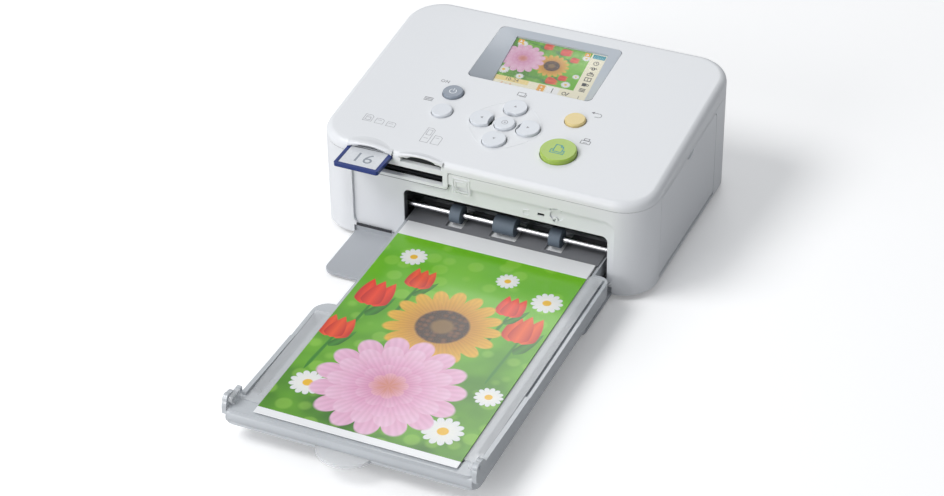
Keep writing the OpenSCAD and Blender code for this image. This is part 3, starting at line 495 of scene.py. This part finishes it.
def painted(s, u, v):
    soft = s.node("ShaderNodeCombineXYZ", {}, [u * 0.01, v * 0.01, 0.3])
    glow = s.noise(3.2, 2, 0.5, soft).step(0.32, 0.68)
    high = (v * (1 / pictureSizes["height"])).step(0.0, 1.0)
    colour = s.mix(high, (0.03, 0.15, 0.008), (0.14, 0.48, 0.012))
    colour = s.mix(glow * 0.6, colour, (0.2, 0.55, 0.02))
    spots = s.cells(9.0, soft, 0.9)
    colour = s.mix((1 - spots.step(0.28, 0.42)) * 0.3, colour, (0.4, 0.72, 0.1))

    def polar(u0, v0, reach):
        du, dv = u - u0, v - v0
        r = (du * du + dv * dv).root() * (1 / reach)
        return r, s.node("ShaderNodeMath", dict(operation="ARCTAN2"), [dv, du])

    def petals(base, u0, v0, reach, count, turn, inner, outer, width=0.3, crisp=0.06):
        r, angle = polar(u0, v0, reach)
        wave = (angle * (count / 2) + turn).sine().size()
        edge = wave ** 0.45 * width + (1 - width)
        ratio = r / edge
        shade = ratio ** 2.0 * 0.75 + wave * 0.25
        petal = s.mix(shade, inner, outer)
        veins = (angle * (count * 4) + turn).sine() * 0.5 + 0.5
        petal = s.mix(veins * 0.16, petal, [c * 0.55 for c in inner])
        return s.mix(1 - ratio.step(1 - crisp, 1.0), base, petal)

    def blade(base, u0, v0, lean, height, width, colour0, colour1):
        along = (v - v0) * (1 / height)
        across = (u - u0 - along * lean).size() * (1 / width)
        shape = (1 - along * along).most(0) * (along > 0) + (along < 0) * (1 - along * along * 16).most(0)
        inside = (shape - across).step(0.0, 0.12)
        return s.mix(inside, base, s.mix(across, colour0, colour1))

    for k, (u0, v0, w, h) in enumerate(pictureSizes["tulips"]):
        colour = blade(colour, u0, v0 - h * 1.6, 2, h * 2.2, 1.1, (0.03, 0.2, 0.01), (0.06, 0.3, 0.02))
        colour = blade(colour, u0 + w * 0.5, v0 - h * 0.5, 6, h * 0.9, w * 0.35, (0.05, 0.26, 0.02),
                       (0.02, 0.12, 0.01))
        for side in (-0.42, 0.42, 0):
            colour = blade(colour, u0 + side * w, v0, side * w * 0.5, h, w * (0.62 - 0.1 * abs(side)),
                           (0.86, 0.06 + 0.03 * (k % 3), 0.02), (0.5, 0.012, 0.01))
    for u0, v0, r in pictureSizes["daisies"]:
        colour = petals(colour, u0, v0, r, 13, 0.4, (0.9, 0.9, 0.82), (0.78, 0.8, 0.84), 0.34)
        near, turned = polar(u0, v0, r * 0.3)
        colour = s.mix(1 - near.step(0.8, 1.0), colour, (0.85, 0.5, 0.03))
    # the sunflower, then the pink dahlia in front of it
    colour = petals(colour, 52, 86, 29, 17, 0.1, (0.5, 0.2, 0.02), (0.85, 0.5, 0.05), 0.34)
    colour = petals(colour, 52, 86, 23, 15, 0.9, (0.42, 0.15, 0.015), (0.78, 0.42, 0.04), 0.36)
    near, turned = polar(52, 86, 13.5)
    seeds = s.cells(30.0, vector=soft, jitter=0.5).step(0.1, 0.6)
    heart = s.mix(seeds, (0.16, 0.06, 0.02), (0.05, 0.02, 0.008))
    colour = s.mix(1 - near.step(0.9, 1.02), colour, s.mix(near.step(0.3, 0.5), (0.22, 0.12, 0.03), heart))
    for reach, count, turn, inner, outer in (
            (37, 15, 0.0, (0.68, 0.24, 0.42), (0.86, 0.55, 0.73)),
            (30, 14, 0.6, (0.7, 0.26, 0.45), (0.88, 0.6, 0.76)),
            (23, 12, 0.2, (0.66, 0.2, 0.4), (0.86, 0.54, 0.72)),
            (16, 10, 0.8, (0.6, 0.16, 0.34), (0.84, 0.5, 0.68)),
            (9.5, 8, 0.3, (0.62, 0.2, 0.12), (0.8, 0.42, 0.56))):
        colour = petals(colour, 48, 36, reach, count, turn, inner, outer, 0.26, 0.05)
    return colour


def printFinish():
    s = Shade("photoPrint")
    x, y = s.axes()[:2]
    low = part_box("print_sheet")[0]
    u = (x - low.x) * 1000
    v = (y - (low.y + pictureSizes["border"] * mm)) * 1000
    inside = (v > 0) * (v < pictureSizes["height"])
    s.set(Base_Color=s.mix(inside, (0.88, 0.89, 0.9), painted(s, u, v)),
          Roughness=s.noise(60, 2) * 0.06 + 0.2, Coat_Weight=0.35, Coat_Roughness=0.08)
    s.bump(s.noise(500, 2), 0.05, 0.00003)
    return s.material


# the features' own middle line; the body's middle lies a little to its right
aside = (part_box("screen_panel")[0].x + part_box("screen_panel")[1].x) / 2 - 1.3 * mm


def onTop(u, v, lift=0.0):
    return topAt(u * mm + aside, middleY + v * mm, lift * mm)


def onFront(u, v, lift=0.0):
    return Vector((u * mm + aside, frontY - lift * mm, v * mm))


# ---- casing ----
casingBevels = dict(housing=0.3, top_cover=0.3, base_case=0.3, ink_door=0.3, front_door=0.25,
                    mouth_frame=0.25, feet=0.5, card_reader=0.12, usb_ports=0.1, dc_jack=0.2)
# dark grey of the mouth frame, also used as the painted shade of the seam belt
mouthGreyAndSeamShade = mouldedPlastic("mouthGreyAndSeamShade", (0.085, 0.087, 0.098), 0.42, grain=0.3)
for nodeName, width in casingBevels.items():
    finished(nodeName, width * mm, mouthGreyAndSeamShade if nodeName == "mouth_frame" else None)

# the seam between the cover and the housing: a dark belt at the bottom of its groove, painted shade for the
# shadowed gap between the two parts
seamSizes = dict(halfWidth=88.0, halfDepth=64.4, middle=2.3, front=18.0, rear=19.0, low=51.4, high=57.3,
                 sunk=0.12, tall=0.36, thick=0.3)


def outlineOf(s, inset):
    w, d = s["halfWidth"] - inset, s["halfDepth"] - inset
    points = []
    for sx, sy, r, first in ((-1, -1, s["front"], 180), (1, -1, s["front"], 270), (1, 1, s["rear"], 0),
                             (-1, 1, s["rear"], 90)):
        r -= inset
        points += arc(s["middle"] + sx * (w - r), sy * (d - r), r, first, first + 90, 12)
    return points


def makeSeamShadeBelt(s=seamSizes):
    work = bmesh.new()
    rings = []
    rise = (s["high"] - s["low"]) / (2 * s["halfDepth"])
    outer, inner = s["sunk"], s["sunk"] + s["thick"]
    for inset, up in ((outer, -1), (outer, 1), (inner, 1), (inner, -1)):
        ring = []
        for u, v in outlineOf(s, inset):
            z = s["low"] + (v + s["halfDepth"]) * rise + up * s["tall"] / 2
            ring.append(work.verts.new((u * mm + aside, middleY + v * mm, z * mm)))
        rings.append(ring)
    count = len(rings[0])
    for k in range(count):
        n = (k + 1) % count
        for j in range(4):
            work.faces.new((rings[j][k], rings[j][n], rings[(j + 1) % 4][n], rings[(j + 1) % 4][k]))
    mesh = closedMesh(work, "casingSeam")
    smoothByAngle(mesh)
    # the belt is painted shade: its dark grey stands in for the shadow inside the seam
    makePiece("casingSeam", mesh, "printer", "dark_plastic", mouthGreyAndSeamShade)


makeSeamShadeBelt()

# ---- funnel round the display: it runs smoothly from the rim down to the tilted glass ----
funnelSizes = dict(x=-0.7, y=29.8, w=67.2, l=46.4, r=3.6, glassX=1.3, glassRear=47.95, glassW=50.5,
                   glassL=38.0, rearSink=0.9, frontSink=6.72, skirt=2.4, rows=10, perSide=24)


def roundedSide(k, t, w, l, r):
    # point at part t of side k of a rounded rectangle; each corner's arc is shared by its two sides
    ways = ((1, 0), (0, 1), (-1, 0), (0, -1))
    along, out = ways[k], ways[k - 1]
    length, depth = ((w, l), (l, w))[k % 2]
    half, reach = length / 2, depth / 2
    place = (2 * t - 1) * half
    bend = max(0.0, abs(place) - (half - r)) / r * math.pi / 4
    place = max(-(half - r), min(half - r, place)) + math.copysign(math.sin(bend) * r, place)
    reach -= r * (1 - math.cos(bend))
    return along[0] * place + out[0] * reach, along[1] * place + out[1] * reach


def makeFunnel(s=funnelSizes):
    outer, inner = [], []
    rise = (s["frontSink"] - s["rearSink"]) / s["glassL"]
    for k in range(4):
        for j in range(s["perSide"]):
            t = j / s["perSide"]
            u, v = roundedSide(k, t, s["w"], s["l"], s["r"])
            outer.append(Vector((s["x"] + u, s["y"] + v, 0.0)))
            u, v = roundedSide(k, t, s["glassW"], s["glassL"], 0.05)
            v += s["glassRear"] - s["glassL"] / 2
            inner.append(Vector((s["glassX"] + u, v, -s["rearSink"] - (s["glassRear"] - v) * rise)))
    rings = [[p - Vector((0, 0, s["skirt"])) for p in outer], outer]
    for j in range(1, s["rows"] + 1):
        t = j / s["rows"]
        rings.append([o.lerp(i, t) for o, i in zip(outer, inner)])
    rings.append([p - Vector((0, 0, 1.2)) for p in inner])
    work = bmesh.new()
    verts = [[work.verts.new(onTop(*p)) for p in ring] for ring in rings]
    count = len(outer)
    for lower, upper in zip(verts, verts[1:] + verts[:1]):
        for k in range(count):
            n = (k + 1) % count
            work.faces.new((lower[k], lower[n], upper[n], upper[k]))
    mesh = closedMesh(work, "displayFunnel")
    smoothByAngle(mesh, 46)
    makePiece("displayFunnel", mesh, "printer", "bezel_grey", None, ("screen_bezel",))


makeFunnel()

# ---- visors over the two upper card slots ----
visorSizes = (("cardVisor", -67.4, -43.2, -60.4, -56.9, -62.8, 54.3, 57.0),
              ("stickVisor", -39.5, -15.9, -62.9, -60.0, -63.3, 54.4, 56.9))


def makeVisor(name, u0, u1, left, middle, right, low, high, across=24, rows=8, proud=0.55, thick=0.5):
    work = bmesh.new()
    upper, lower = [], []
    for i in range(across + 1):
        t = i / across
        bow = 4 * t * (1 - t)
        u = u0 + (u1 - u0) * t
        back = left * (1 - t) + right * t + bow * (middle - (left + right) / 2)
        foot = Vector((u, -64.75, low + (high - low) * bow))
        end = Vector((u, back, topSizes["front"] / mm + (back + 64.4) * math.tan(slope)))
        bend = Vector((u, -64.6, end.z + proud * bow))
        lift = proud * min(1.0, bow * 4)
        for j in range(rows + 1):
            p = j / rows
            at = foot * (1 - p) ** 2 + bend * 2 * p * (1 - p) + end * p ** 2
            at.z += lift * math.sin(math.pi * min(1.0, p * 1.25)) if p < 0.8 else 0.0
            for row, drop in ((upper, 0.0), (lower, thick)):
                row.append(work.verts.new(((at.x * mm) + aside, middleY + (at.y + drop * 0.5) * mm,
                                           (at.z - drop) * mm)))
    wide = rows + 1
    for i in range(across):
        for j in range(rows):
            a, b = i * wide + j, (i + 1) * wide + j
            work.faces.new((upper[a], upper[b], upper[b + 1], upper[a + 1]))
            work.faces.new((lower[a], lower[a + 1], lower[b + 1], lower[b]))
        for j in (0, rows):
            a, b = i * wide + j, (i + 1) * wide + j
            work.faces.new((upper[a], lower[a], lower[b], upper[b]))
    for i in (0, across):
        for j in range(rows):
            a = i * wide + j
            work.faces.new((upper[a], upper[a + 1], lower[a + 1], lower[a]))
    mesh = closedMesh(work, name)
    smoothByAngle(mesh, 50)
    makePiece(name, mesh, "printer", "shell_white")


for row in visorSizes:
    makeVisor(*row)
print("stage: casing")

# ---- display ----
displaySizes = dict(pictureRight=0.835, pictureLow=0.19, glow=0.62, hidden=0.085,
                    shownFrom=10, shownLength=128)


def upperFace(node):
    mesh = cadCopy(node)
    face = max(mesh.polygons, key=lambda p: p.area * (p.normal.z > 0.7))
    corners = [mesh.vertices[k].co.copy() for k in face.vertices]
    rightward, backward = Vector((1, 0, 0)), Vector((0, 1, 0))
    pick = lambda sx, sy: max(corners, key=lambda c: sx * c.dot(rightward) + sy * c.dot(backward))
    return pick(-1, -1), pick(1, -1), pick(-1, 1)


def displayFinish(s=displaySizes):
    shade = Shade("litDisplay")
    uv = shade.tree.nodes.new("ShaderNodeUVMap")
    uv.uv_map = "face"
    split = shade.tree.nodes.new("ShaderNodeSeparateXYZ")
    shade.tree.links.new(uv.outputs[0], split.inputs[0])
    u, v = Sock(shade, split.outputs[0]), Sock(shade, split.outputs[1])
    # the same flower bed, lying on its side as the printer turns it
    across = pictureSizes["width"]
    shown = painted(shade, across - (v - s["pictureLow"]) * (across / (1 - s["pictureLow"])),
                    s["shownFrom"] + u * (s["shownLength"] / s["pictureRight"]))
    cream, yellow, orange, teal = (0.93, 0.88, 0.68), (0.93, 0.74, 0.3), (0.9, 0.42, 0.03), (0.02, 0.33, 0.42)

    def inside(u0, v0, u1, v1):
        return (u > u0) * (u < u1) * (v > v0) * (v < v1)

    colour = shade.mix(inside(0, s["pictureLow"], s["pictureRight"], 1), cream, shown)
    for area, paint in (((0, 0.1, 0.36, s["pictureLow"]), yellow), ((0.47, 0.02, 0.545, 0.175), orange),
                        ((0.56, 0.025, 0.7, 0.17), (0.95, 0.95, 0.95)), ((0.03, 0.91, 0.09, 0.985), orange),
                        ((0.76, 0.91, 0.82, 0.985), orange), ((0.85, 0.9, 0.985, 0.985), teal)):
        colour = shade.mix(inside(*area), colour, paint)
    shade.set(Base_Color=shade.mix(0.85, colour, (0.0, 0.0, 0.0)), Emission_Color=colour, Roughness=0.3)
    shade.surface.inputs["Emission Strength"].default_value = s["glow"]
    return shade.material


def makeDisplay():
    mesh = bevelled(cadCopy("screen_panel"), 0.15 * mm)
    corner, right, rear = upperFace("screen_panel")
    # the rim hides the front of the panel, so the picture starts behind it
    origin = corner.lerp(rear, displaySizes["hidden"])
    across, along = right - corner, rear - origin
    layer = mesh.uv_layers.new(name="face")
    for loop in mesh.loops:
        at = mesh.vertices[loop.vertex_index].co - origin
        layer.data[loop.index].uv = [at.dot(way) / way.length_squared for way in (across, along)]
    smoothByAngle(mesh)
    makePiece("display", mesh, "printer", "screen", displayFinish(), ("screen_panel",))
    up = across.cross(along).normalized()
    wide, tall = across.length / mm, along.length / mm

    def onScreen(u, v, lift=0.0):
        return origin + across * (u / wide) + along * (v / tall) + up * (lift * mm)

    marks = Ink(onScreen, 0.02)
    x = wide * 0.918
    for k in range(6):
        y = tall * (0.81 - 0.115 * k)
        if k == 0:
            marks.ring(x, y, 1.3, 0.35).line([(x, y + 0.9), (x, y), (x + 0.7, y)], 0.35)
        elif k == 1:
            marks.ring(x, y, 0.75, 0.6).line([(x - 1.9, y), (x - 1.0, y + 0.9)], 0.35)
            marks.line([(x + 1.0, y + 0.9), (x + 1.9, y)], 0.35)
        elif k == 2:
            marks.box(x - 1.6, y - 1.1, x + 1.6, y + 0.1, 0.4).box(x - 0.9, y + 0.5, x + 0.9, y + 1.3)
        elif k == 3:
            marks.box(x - 1.6, y - 1.2, x + 1.6, y + 1.2, 0.4).line([(x, y - 1), (x, y + 1)], 0.35)
        elif k == 4:
            marks.box(x - 1.6, y - 1.1, x + 0.6, y + 1.1).ring(x + 1.3, y, 0.6, 0.4)
        else:
            for row in (-0.9, 0, 0.9):
                marks.line([(x - 1.6, y + row), (x + 1.6, y + row)], 0.5)
    marks.text("1", x, tall * 0.075, 2.2).text("1", wide * 0.63, tall * 0.097, 3.4)
    marks.text("10-24", wide * 0.18, tall * 0.145, 2.2, 1.05)
    marks.ring(wide * 0.76, tall * 0.095, 1.0, 0.4)
    marks.line([(wide * 0.785, tall * 0.06), (wide * 0.81, tall * 0.13)], 0.5)
    marks.done("displayMarks", "printer", "screen", darkInk)
    accents = Ink(onScreen, 0.02)
    accents.text("4 x 6", wide * 0.14, tall * 0.045, 2.0, 1.1)
    accents.done("displayAccents", "printer", "screen", orangeInk)
    lights = Ink(onScreen, 0.025)
    for u, turn in ((0.06, 90), (0.79, 90)):
        lights.shape(arc(wide * u, tall * 0.945, 0.9, turn, turn + 360, 3))
    for v, turn in ((0.125, 90), (0.065, 270)):
        lights.shape(arc(wide * 0.508, tall * v, 0.75, turn, turn + 360, 3))
    lights.done("displayLights", "printer", "screen", paleInk)


def inkFinish(name, colour, roughness=0.5, glow=0.0):
    s = Shade(name)
    wear = s.noise(800, 2)
    s.set(Base_Color=s.mix(wear, [c * 0.9 for c in colour], [min(1, c * 1.1) for c in colour]),
          Roughness=wear * 0.1 + roughness)
    if glow:
        s.set(Emission_Color=colour)
        s.surface.inputs["Emission Strength"].default_value = glow
    return s.material


darkInk = inkFinish("darkInk", (0.03, 0.03, 0.035))
greyInk = inkFinish("greyInk", (0.2, 0.2, 0.215))
fineInk = inkFinish("fineInk", (0.33, 0.33, 0.35))
tealInk = inkFinish("tealInk", (0.0, 0.27, 0.36), 0.35)
paleInk = inkFinish("paleInk", (0.8, 0.82, 0.85), 0.4)
orangeInk = inkFinish("orangeInk", (0.75, 0.22, 0.02))
makeDisplay()
glassMesh = bevelled(cadCopy("screen_window"), 0.12 * mm)
smoothByAngle(glassMesh)
makePiece("displayGlass", glassMesh, "printer", "clear_window", None, ("screen_window",))
print("stage: display")

# ---- printed marks on the casing, and painted shade in the door's hinge slot ----
legendSizes = dict(stroke=0.3, fine=0.2)


def makeLegends(s=legendSizes):
    t = s["stroke"]
    words = Ink(onTop)
    words.text("ON", -42.3, -2.0, 2.1, 1.1)
    for row in (-1.1, 0, 1.1):
        words.line([(-46.6, -18.3 + row), (-41.8, -18.3 + row)], 0.42)
    # two stacked sheets over the keys
    words.box(-3.6, -0.3, 0.2, 2.3, t).line([(-2.2, -0.8), (1.0, -0.8), (1.0, 1.6)], t)
    # an arrow that turns back, beside the gold key
    words.ring(41.2, -2.6, 1.5, t, -90, 90).line([(41.2, -1.1), (38.2, -1.1)], t)
    words.line([(41.2, -4.1), (39.6, -4.1)], t)
    words.shape([(38.5, -2.0), (38.5, -0.2), (36.9, -1.1)])
    # a printer, beside the green key
    words.box(40.6, -26.0, 45.4, -23.6, t).box(41.7, -23.3, 44.3, -21.8, t)
    words.line([(41.8, -25.2), (44.2, -25.2)], t)
    words.done("legends", "printer", "shell_white", greyInk)
    outlines = Ink(onTop)
    f = s["fine"]
    for u, v, w, h, cut in ((-68.2, -45.3, 4.6, 5.0, 1.1), (-61.6, -45.6, 4.4, 3.9, 1.0),
                            (-55.2, -45.9, 4.6, 3.4, 0.8)):
        outlines.line([(u, v), (u + w, v), (u + w, v + h - cut), (u + w - cut, v + h), (u, v + h)], f, True)
        outlines.line([(u + 0.7, v + h - 1.2), (u + w - 1.4, v + h - 1.2)], f)
    outlines.box(-67.2, -44.4, -64.6, -42.4, f)
    outlines.line([(-34.2, -51.6), (-30.0, -51.6), (-30.0, -41.3), (-31.4, -40.1), (-34.2, -40.1)], f, True)
    outlines.box(-33.3, -45.6, -31.0, -41.6, f).line([(-33.3, -48.2), (-31.0, -48.2)], f)
    outlines.line([(-28.4, -51.6), (-24.1, -51.6), (-24.1, -46.0), (-25.3, -44.9), (-28.4, -44.9)], f, True)
    outlines.line([(-27.6, -46.6), (-25.6, -46.6)], f)
    outlines.done("cardOutlines", "printer", "shell_white", fineInk)


def makeRaisedMarks():
    marks = Ink(onFront, 0.25, 0.1)
    marks.box(-10.4, 40.9, -1.7, 49.3, 0.55)
    marks.box(-9.0, 42.3, -3.1, 47.9, 0.4)
    marks.line([(-4.4, 46.6), (-3.8, 46.6)], 0.5)
    marks.done("raisedSquare", "printer", "shell_white", finishes["shell_white"])
    recessDepth = 1.4
    recess = Ink(lambda u, v, lift=0.0: onFront(u, v, lift - recessDepth), 0.35, 0.1)
    recess.ring(27.4, 38.4, 1.5, 0.45, 90, 270).line([(27.4, 39.9), (29.2, 39.9)], 0.45)
    recess.line([(27.4, 36.9), (29.2, 36.9)], 0.45)
    recess.ring(42.6, 40.6, 3.0, 1.0, 100, 275).line([(42.1, 43.5), (46.2, 44.0)], 1.0)
    recess.ring(43.0, 38.3, 0.9, 0.9)
    recess.done("catchRim", "printer", "shell_white", finishes["shell_white"])


def makeFrontDetails():
    edge = Ink(onFront, 0.03)
    edge.line([(-69.5, 41.5), (-14.6, 41.5), (-13.5, 42.0), (-13.0, 43.2), (-13.0, 50.2), (-12.5, 51.2),
               (-11.3, 51.5)], 0.26)
    edge.done("cardZoneEdge", "printer", "shell_white", greyInk)
    # a flat dark box on the front face: painted shade where the door's hinge slot lies open
    gap = Ink(onFront, 0.05, 0.4).box(-64.3, 7.2, -44.8, 8.7)
    gap.done("doorHingeGap", "printer", "dark_plastic", finishes["dark_plastic"])


makeLegends()
makeRaisedMarks()
makeFrontDetails()
print("stage: printed marks")

# ---- keys ----
keySizes = dict(small=0.55, cross=0.5, green=0.9, keyR=6.0, bite=8.4, deep=3.4,
                padX=19.5, padY=20.5, padBend=1.45)
# each key's centre and how proud it stands
keyCentres = dict(power_button=(-34.4, -9.9, 1.5), menu_button=(-33.4, -25.8, 1.5),
                  back_button=(31.9, -10.4, 1.5), print_button=(34, -37.4, 2.6),
                  ok_button=(0.3, -25, 1.5), up_button=(0.3, -11.4, 1.5),
                  left_button=(-12.0, -25, 1.5), down_button=(0.3, -38.6, 1.5),
                  right_button=(12.6, -25, 1.5))


def makeCrossKey(node, u0, v0, proud, s=keySizes):
    # a round key with a bite that follows the key in the middle
    middle = Vector(keyCentres["ok_button"][:2])
    points = []
    for u, v in arc(0, 0, s["keyR"], n=96):
        away = Vector((u0 + u, v0 + v)) - middle
        if away.length < s["bite"]:
            away = away.normalized() * s["bite"]
        points.append(middle + away - Vector((u0, v0)))
    cap = Ink(lambda u, v, lift=0.0: onTop(u0 + u, v0 + v, proud + lift), 0, s["deep"]).shape(points)
    mesh = bevelled(closedMesh(cap.work, node), s["cross"] * mm, 4)
    smoothByAngle(mesh, 40)
    makePiece(node + "_finished", weighted(mesh), bodyOf[node], slotOf[node], None, (node,))


def makeKey(node, s=keySizes):
    u0, v0, proud = keyCentres[node]
    if node[:2] in ("up", "le", "do", "ri"):
        makeCrossKey(node, u0, v0, proud)
    else:
        finished(node, s["green" if node == "print_button" else "small"] * mm, segments=4)
    marks = Ink(lambda u, v, lift=0.0: onTop(u0 + u, v0 + v, proud + lift), 0.02, 0.04)
    ink = greyInk
    if node == "power_button":
        marks.ring(0, -0.2, 1.75, 0.42, 120, 420).line([(0, 0.2), (0, 2.3)], 0.42)
        ink = paleInk
    elif node == "print_button":
        marks.line([(-3.4, -0.6), (-3.4, -3.2), (3.4, -3.2), (3.4, -0.6), (2.4, -0.6)], 0.42)
        marks.line([(-3.4, -0.6), (-2.4, -0.6)], 0.42)
        marks.line([(-2.2, -2.0), (2.2, -2.0), (2.2, 1.8), (0.7, 3.3), (-2.2, 3.3)], 0.42, True)
        marks.line([(0.7, 3.1), (0.7, 1.8), (2.0, 1.8)], 0.36)
        ink = tealInk
    elif node == "ok_button":
        marks.ring(0, 0, 1.5, 0.3).shape(arc(0, 0, 0.5))
        ink = fineInk
    elif node not in ("menu_button", "back_button"):
        turn = dict(up_button=90, left_button=180, down_button=270, right_button=0)[node]
        marks.shape(arc(0, 0, 0.95, turn, turn + 360, 3))
        ink = fineInk
    else:
        marks.work.free()
        return
    marks.done(node + "Mark", bodyOf[node], slotOf[node], ink)


def makePad(s=keySizes):
    # the faint raised edge of the pad under the cross of keys
    u0, v0 = keyCentres["ok_button"][:2]
    points = []
    for u, v in arc(0, 0, 1, n=96):
        reach = (abs(u) ** s["padBend"] + abs(v) ** s["padBend"]) ** (-1 / s["padBend"])
        points.append((u0 + u * reach * s["padX"], v0 + v * reach * s["padY"]))
    edge = Ink(onTop, 0.08, 0.1).line(points, 0.7, True)
    edge.done("padEdge", "printer", "shell_white", finishes["shell_white"])


for nodeName in keyCentres:
    makeKey(nodeName)
makePad()
print("stage: keys")

# ---- print ----
def makePrint():
    mesh = bevelled(cadCopy("print_sheet"), 0.08 * mm, 1)
    smoothByAngle(mesh)
    makePiece("photoSheet", mesh, "print", "photo_print", printFinish(), ("print_sheet",))


makePrint()
print("stage: print")

# ---- grey comb on the cassette under the rollers; its notches are open to the rear ----
combSizes = dict(x0=-36.0, x1=66.0, y0=-65.2, y1=-44.5, notch=-61.8, z=17.86, tall=0.36,
                 gaps=((-16.2, -7.6), (7.2, 21.2), (36.6, 45.6)))


def makeComb(s=combSizes):
    def onComb(u, v, lift=0.0):
        return Vector((u * mm + aside, middleY + v * mm, (s["z"] + lift) * mm))

    comb = Ink(onComb, s["tall"], 0)
    edges = [s["x0"]] + [x for gap in s["gaps"] for x in gap] + [s["x1"]]
    points = [(s["x0"], s["y0"]), (s["x1"], s["y0"])]
    for k in range(len(edges) - 1, 0, -2):
        points += [(edges[k], s["y1"]), (edges[k - 1], s["y1"])]
        if k > 1:
            points += [(edges[k - 1], s["notch"]), (edges[k - 2], s["notch"])]
    comb.shape(points)
    comb.done("cassetteComb", bodyOf["cassette_body"], "clear_grey",
              mouldedPlastic("combGrey", (0.2, 0.205, 0.22), 0.4, grain=0.3))


makeComb()

# ---- card ----
cardSizes = dict(number="16", labelSunk=0.2, labelTop=0.08)


def makeCard(s=cardSizes):
    finished("memory_card", 0.3 * mm)
    low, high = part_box("memory_card")

    def onCard(u, v, lift=0.0):
        return Vector((low.x + u * mm, low.y + v * mm, high.z + (lift - s["labelSunk"]) * mm))

    def onLabel(u, v, lift=0.0):
        return onCard(u, v, lift + s["labelTop"])

    label = Ink(onCard, s["labelTop"], 0.1)
    label.shape([(2.0, 2.0), (22.0, 2.0), (22.0, 21.6), (21.4, 22.2), (2.6, 22.2), (2.0, 21.6)])
    label.done("cardLabel", "card", "card_blue", inkFinish("labelWhite", (0.72, 0.74, 0.77), 0.35))
    number = Ink(onLabel, 0.02)
    number.text(s["number"], 12, 8.6, 8.0, 1.05)
    number.done("cardNumber", "card", "card_blue", inkFinish("numberGrey", (0.3, 0.33, 0.37)))
    lines = Ink(onLabel, 0.02)
    for v, u1 in ((17.2, 19.0), (18.6, 15.0), (20.2, 20.0)):
        lines.line([(3.4, v), (u1, v)], 0.35)
    lines.done("cardLines", "card", "card_blue", darkInk)


makeCard()
print("stage: card")

# ---- cassette ----
paleClear = clearPlastic("paleClear", (0.86, 0.88, 0.9), 0.32, 0.1)
for nodeName, width in dict(cassette_body=0.3, cassette_lid=0.12, lift_plate=0.1, paper_stack=0.12).items():
    finished(nodeName, width * mm, paleClear if nodeName == "cassette_lid" else None)


def splitOff(source, name, inside, material):
    # the faces that pass the test leave the source and become a piece of their own
    piece = bpy.data.objects[source]
    mesh = bpy.data.meshes.new(name)
    for target, keep in ((mesh, True), (piece.data, False)):
        work = bmesh.new()
        work.from_mesh(piece.data)
        going = [face for face in work.faces if inside(face.calc_center_median()) != keep]
        bmesh.ops.delete(work, geom=going, context="FACES")
        work.to_mesh(target)
        work.free()
    makePiece(name, mesh, bodyOf["cassette_body"], "clear_grey", material)


barFront = middleY - 232.2 * mm
splitOff("cassette_body_finished", "fingerTab", lambda c: c.y < barFront, paleClear)
print("stage: cassette")

# ---- mechanism seen through the mouth ----
for nodeName, width in dict(pickup_rollers=0.3, platen_roller=0.3, left_plate=0.1, right_plate=0.1,
                            cross_stays=0.1, cartridge_shell=0.3, thermal_head=0.1).items():
    finished(nodeName, width * mm)
print("stage: mechanism")


# ---- room ----
def makeFloor(reach=6.0):
    bpy.ops.mesh.primitive_plane_add(size=reach * 2, location=(0, 0, 0))
    floor = bpy.context.object
    floor.name = "floorSheet"
    s = Shade("paleFloor")
    broad = s.noise(1.5, 2)
    seen = s.node("ShaderNodeLightPath", {}, {}, "Is Camera Ray")
    grey = s.mix(broad, (0.68, 0.68, 0.69), (0.72, 0.72, 0.72))
    s.set(Base_Color=s.mix(seen, grey, (1, 1, 1)), Roughness=broad * 0.1 + 0.6)
    s.set(Emission_Color=s.mix(seen, (0, 0, 0), (0.17, 0.17, 0.17)))
    s.surface.inputs["Emission Strength"].default_value = 1.0
    floor.data.materials.append(s.material)


makeCamera(cameraSizes)
makeWorld(0.36)
makeFloor()
middle = (0, middleY - 50 * mm, 20 * mm)
# name, place from the printer's middle in metres, size, watts, colour
for lamp, (x, y, z), size, watts, colour in (("keyLamp", (-0.95, -0.75, 1.5), 0.9, 17.5, (1, 1, 1)),
                                             ("frontLamp", (-0.7, -1.6, 0.7), 0.9, 10, (0.99, 0.985, 1)),
                                             ("backLamp", (-0.3, 1.2, 1.3), 0.8, 4, (1, 1, 1))):
    makeLamp(lamp, (x, middleY + y, z), middle, size, watts, colour)
scene = bpy.context.scene
scene.view_settings.view_transform = "Standard"
scene.view_settings.look = "None"

print("stage: done")
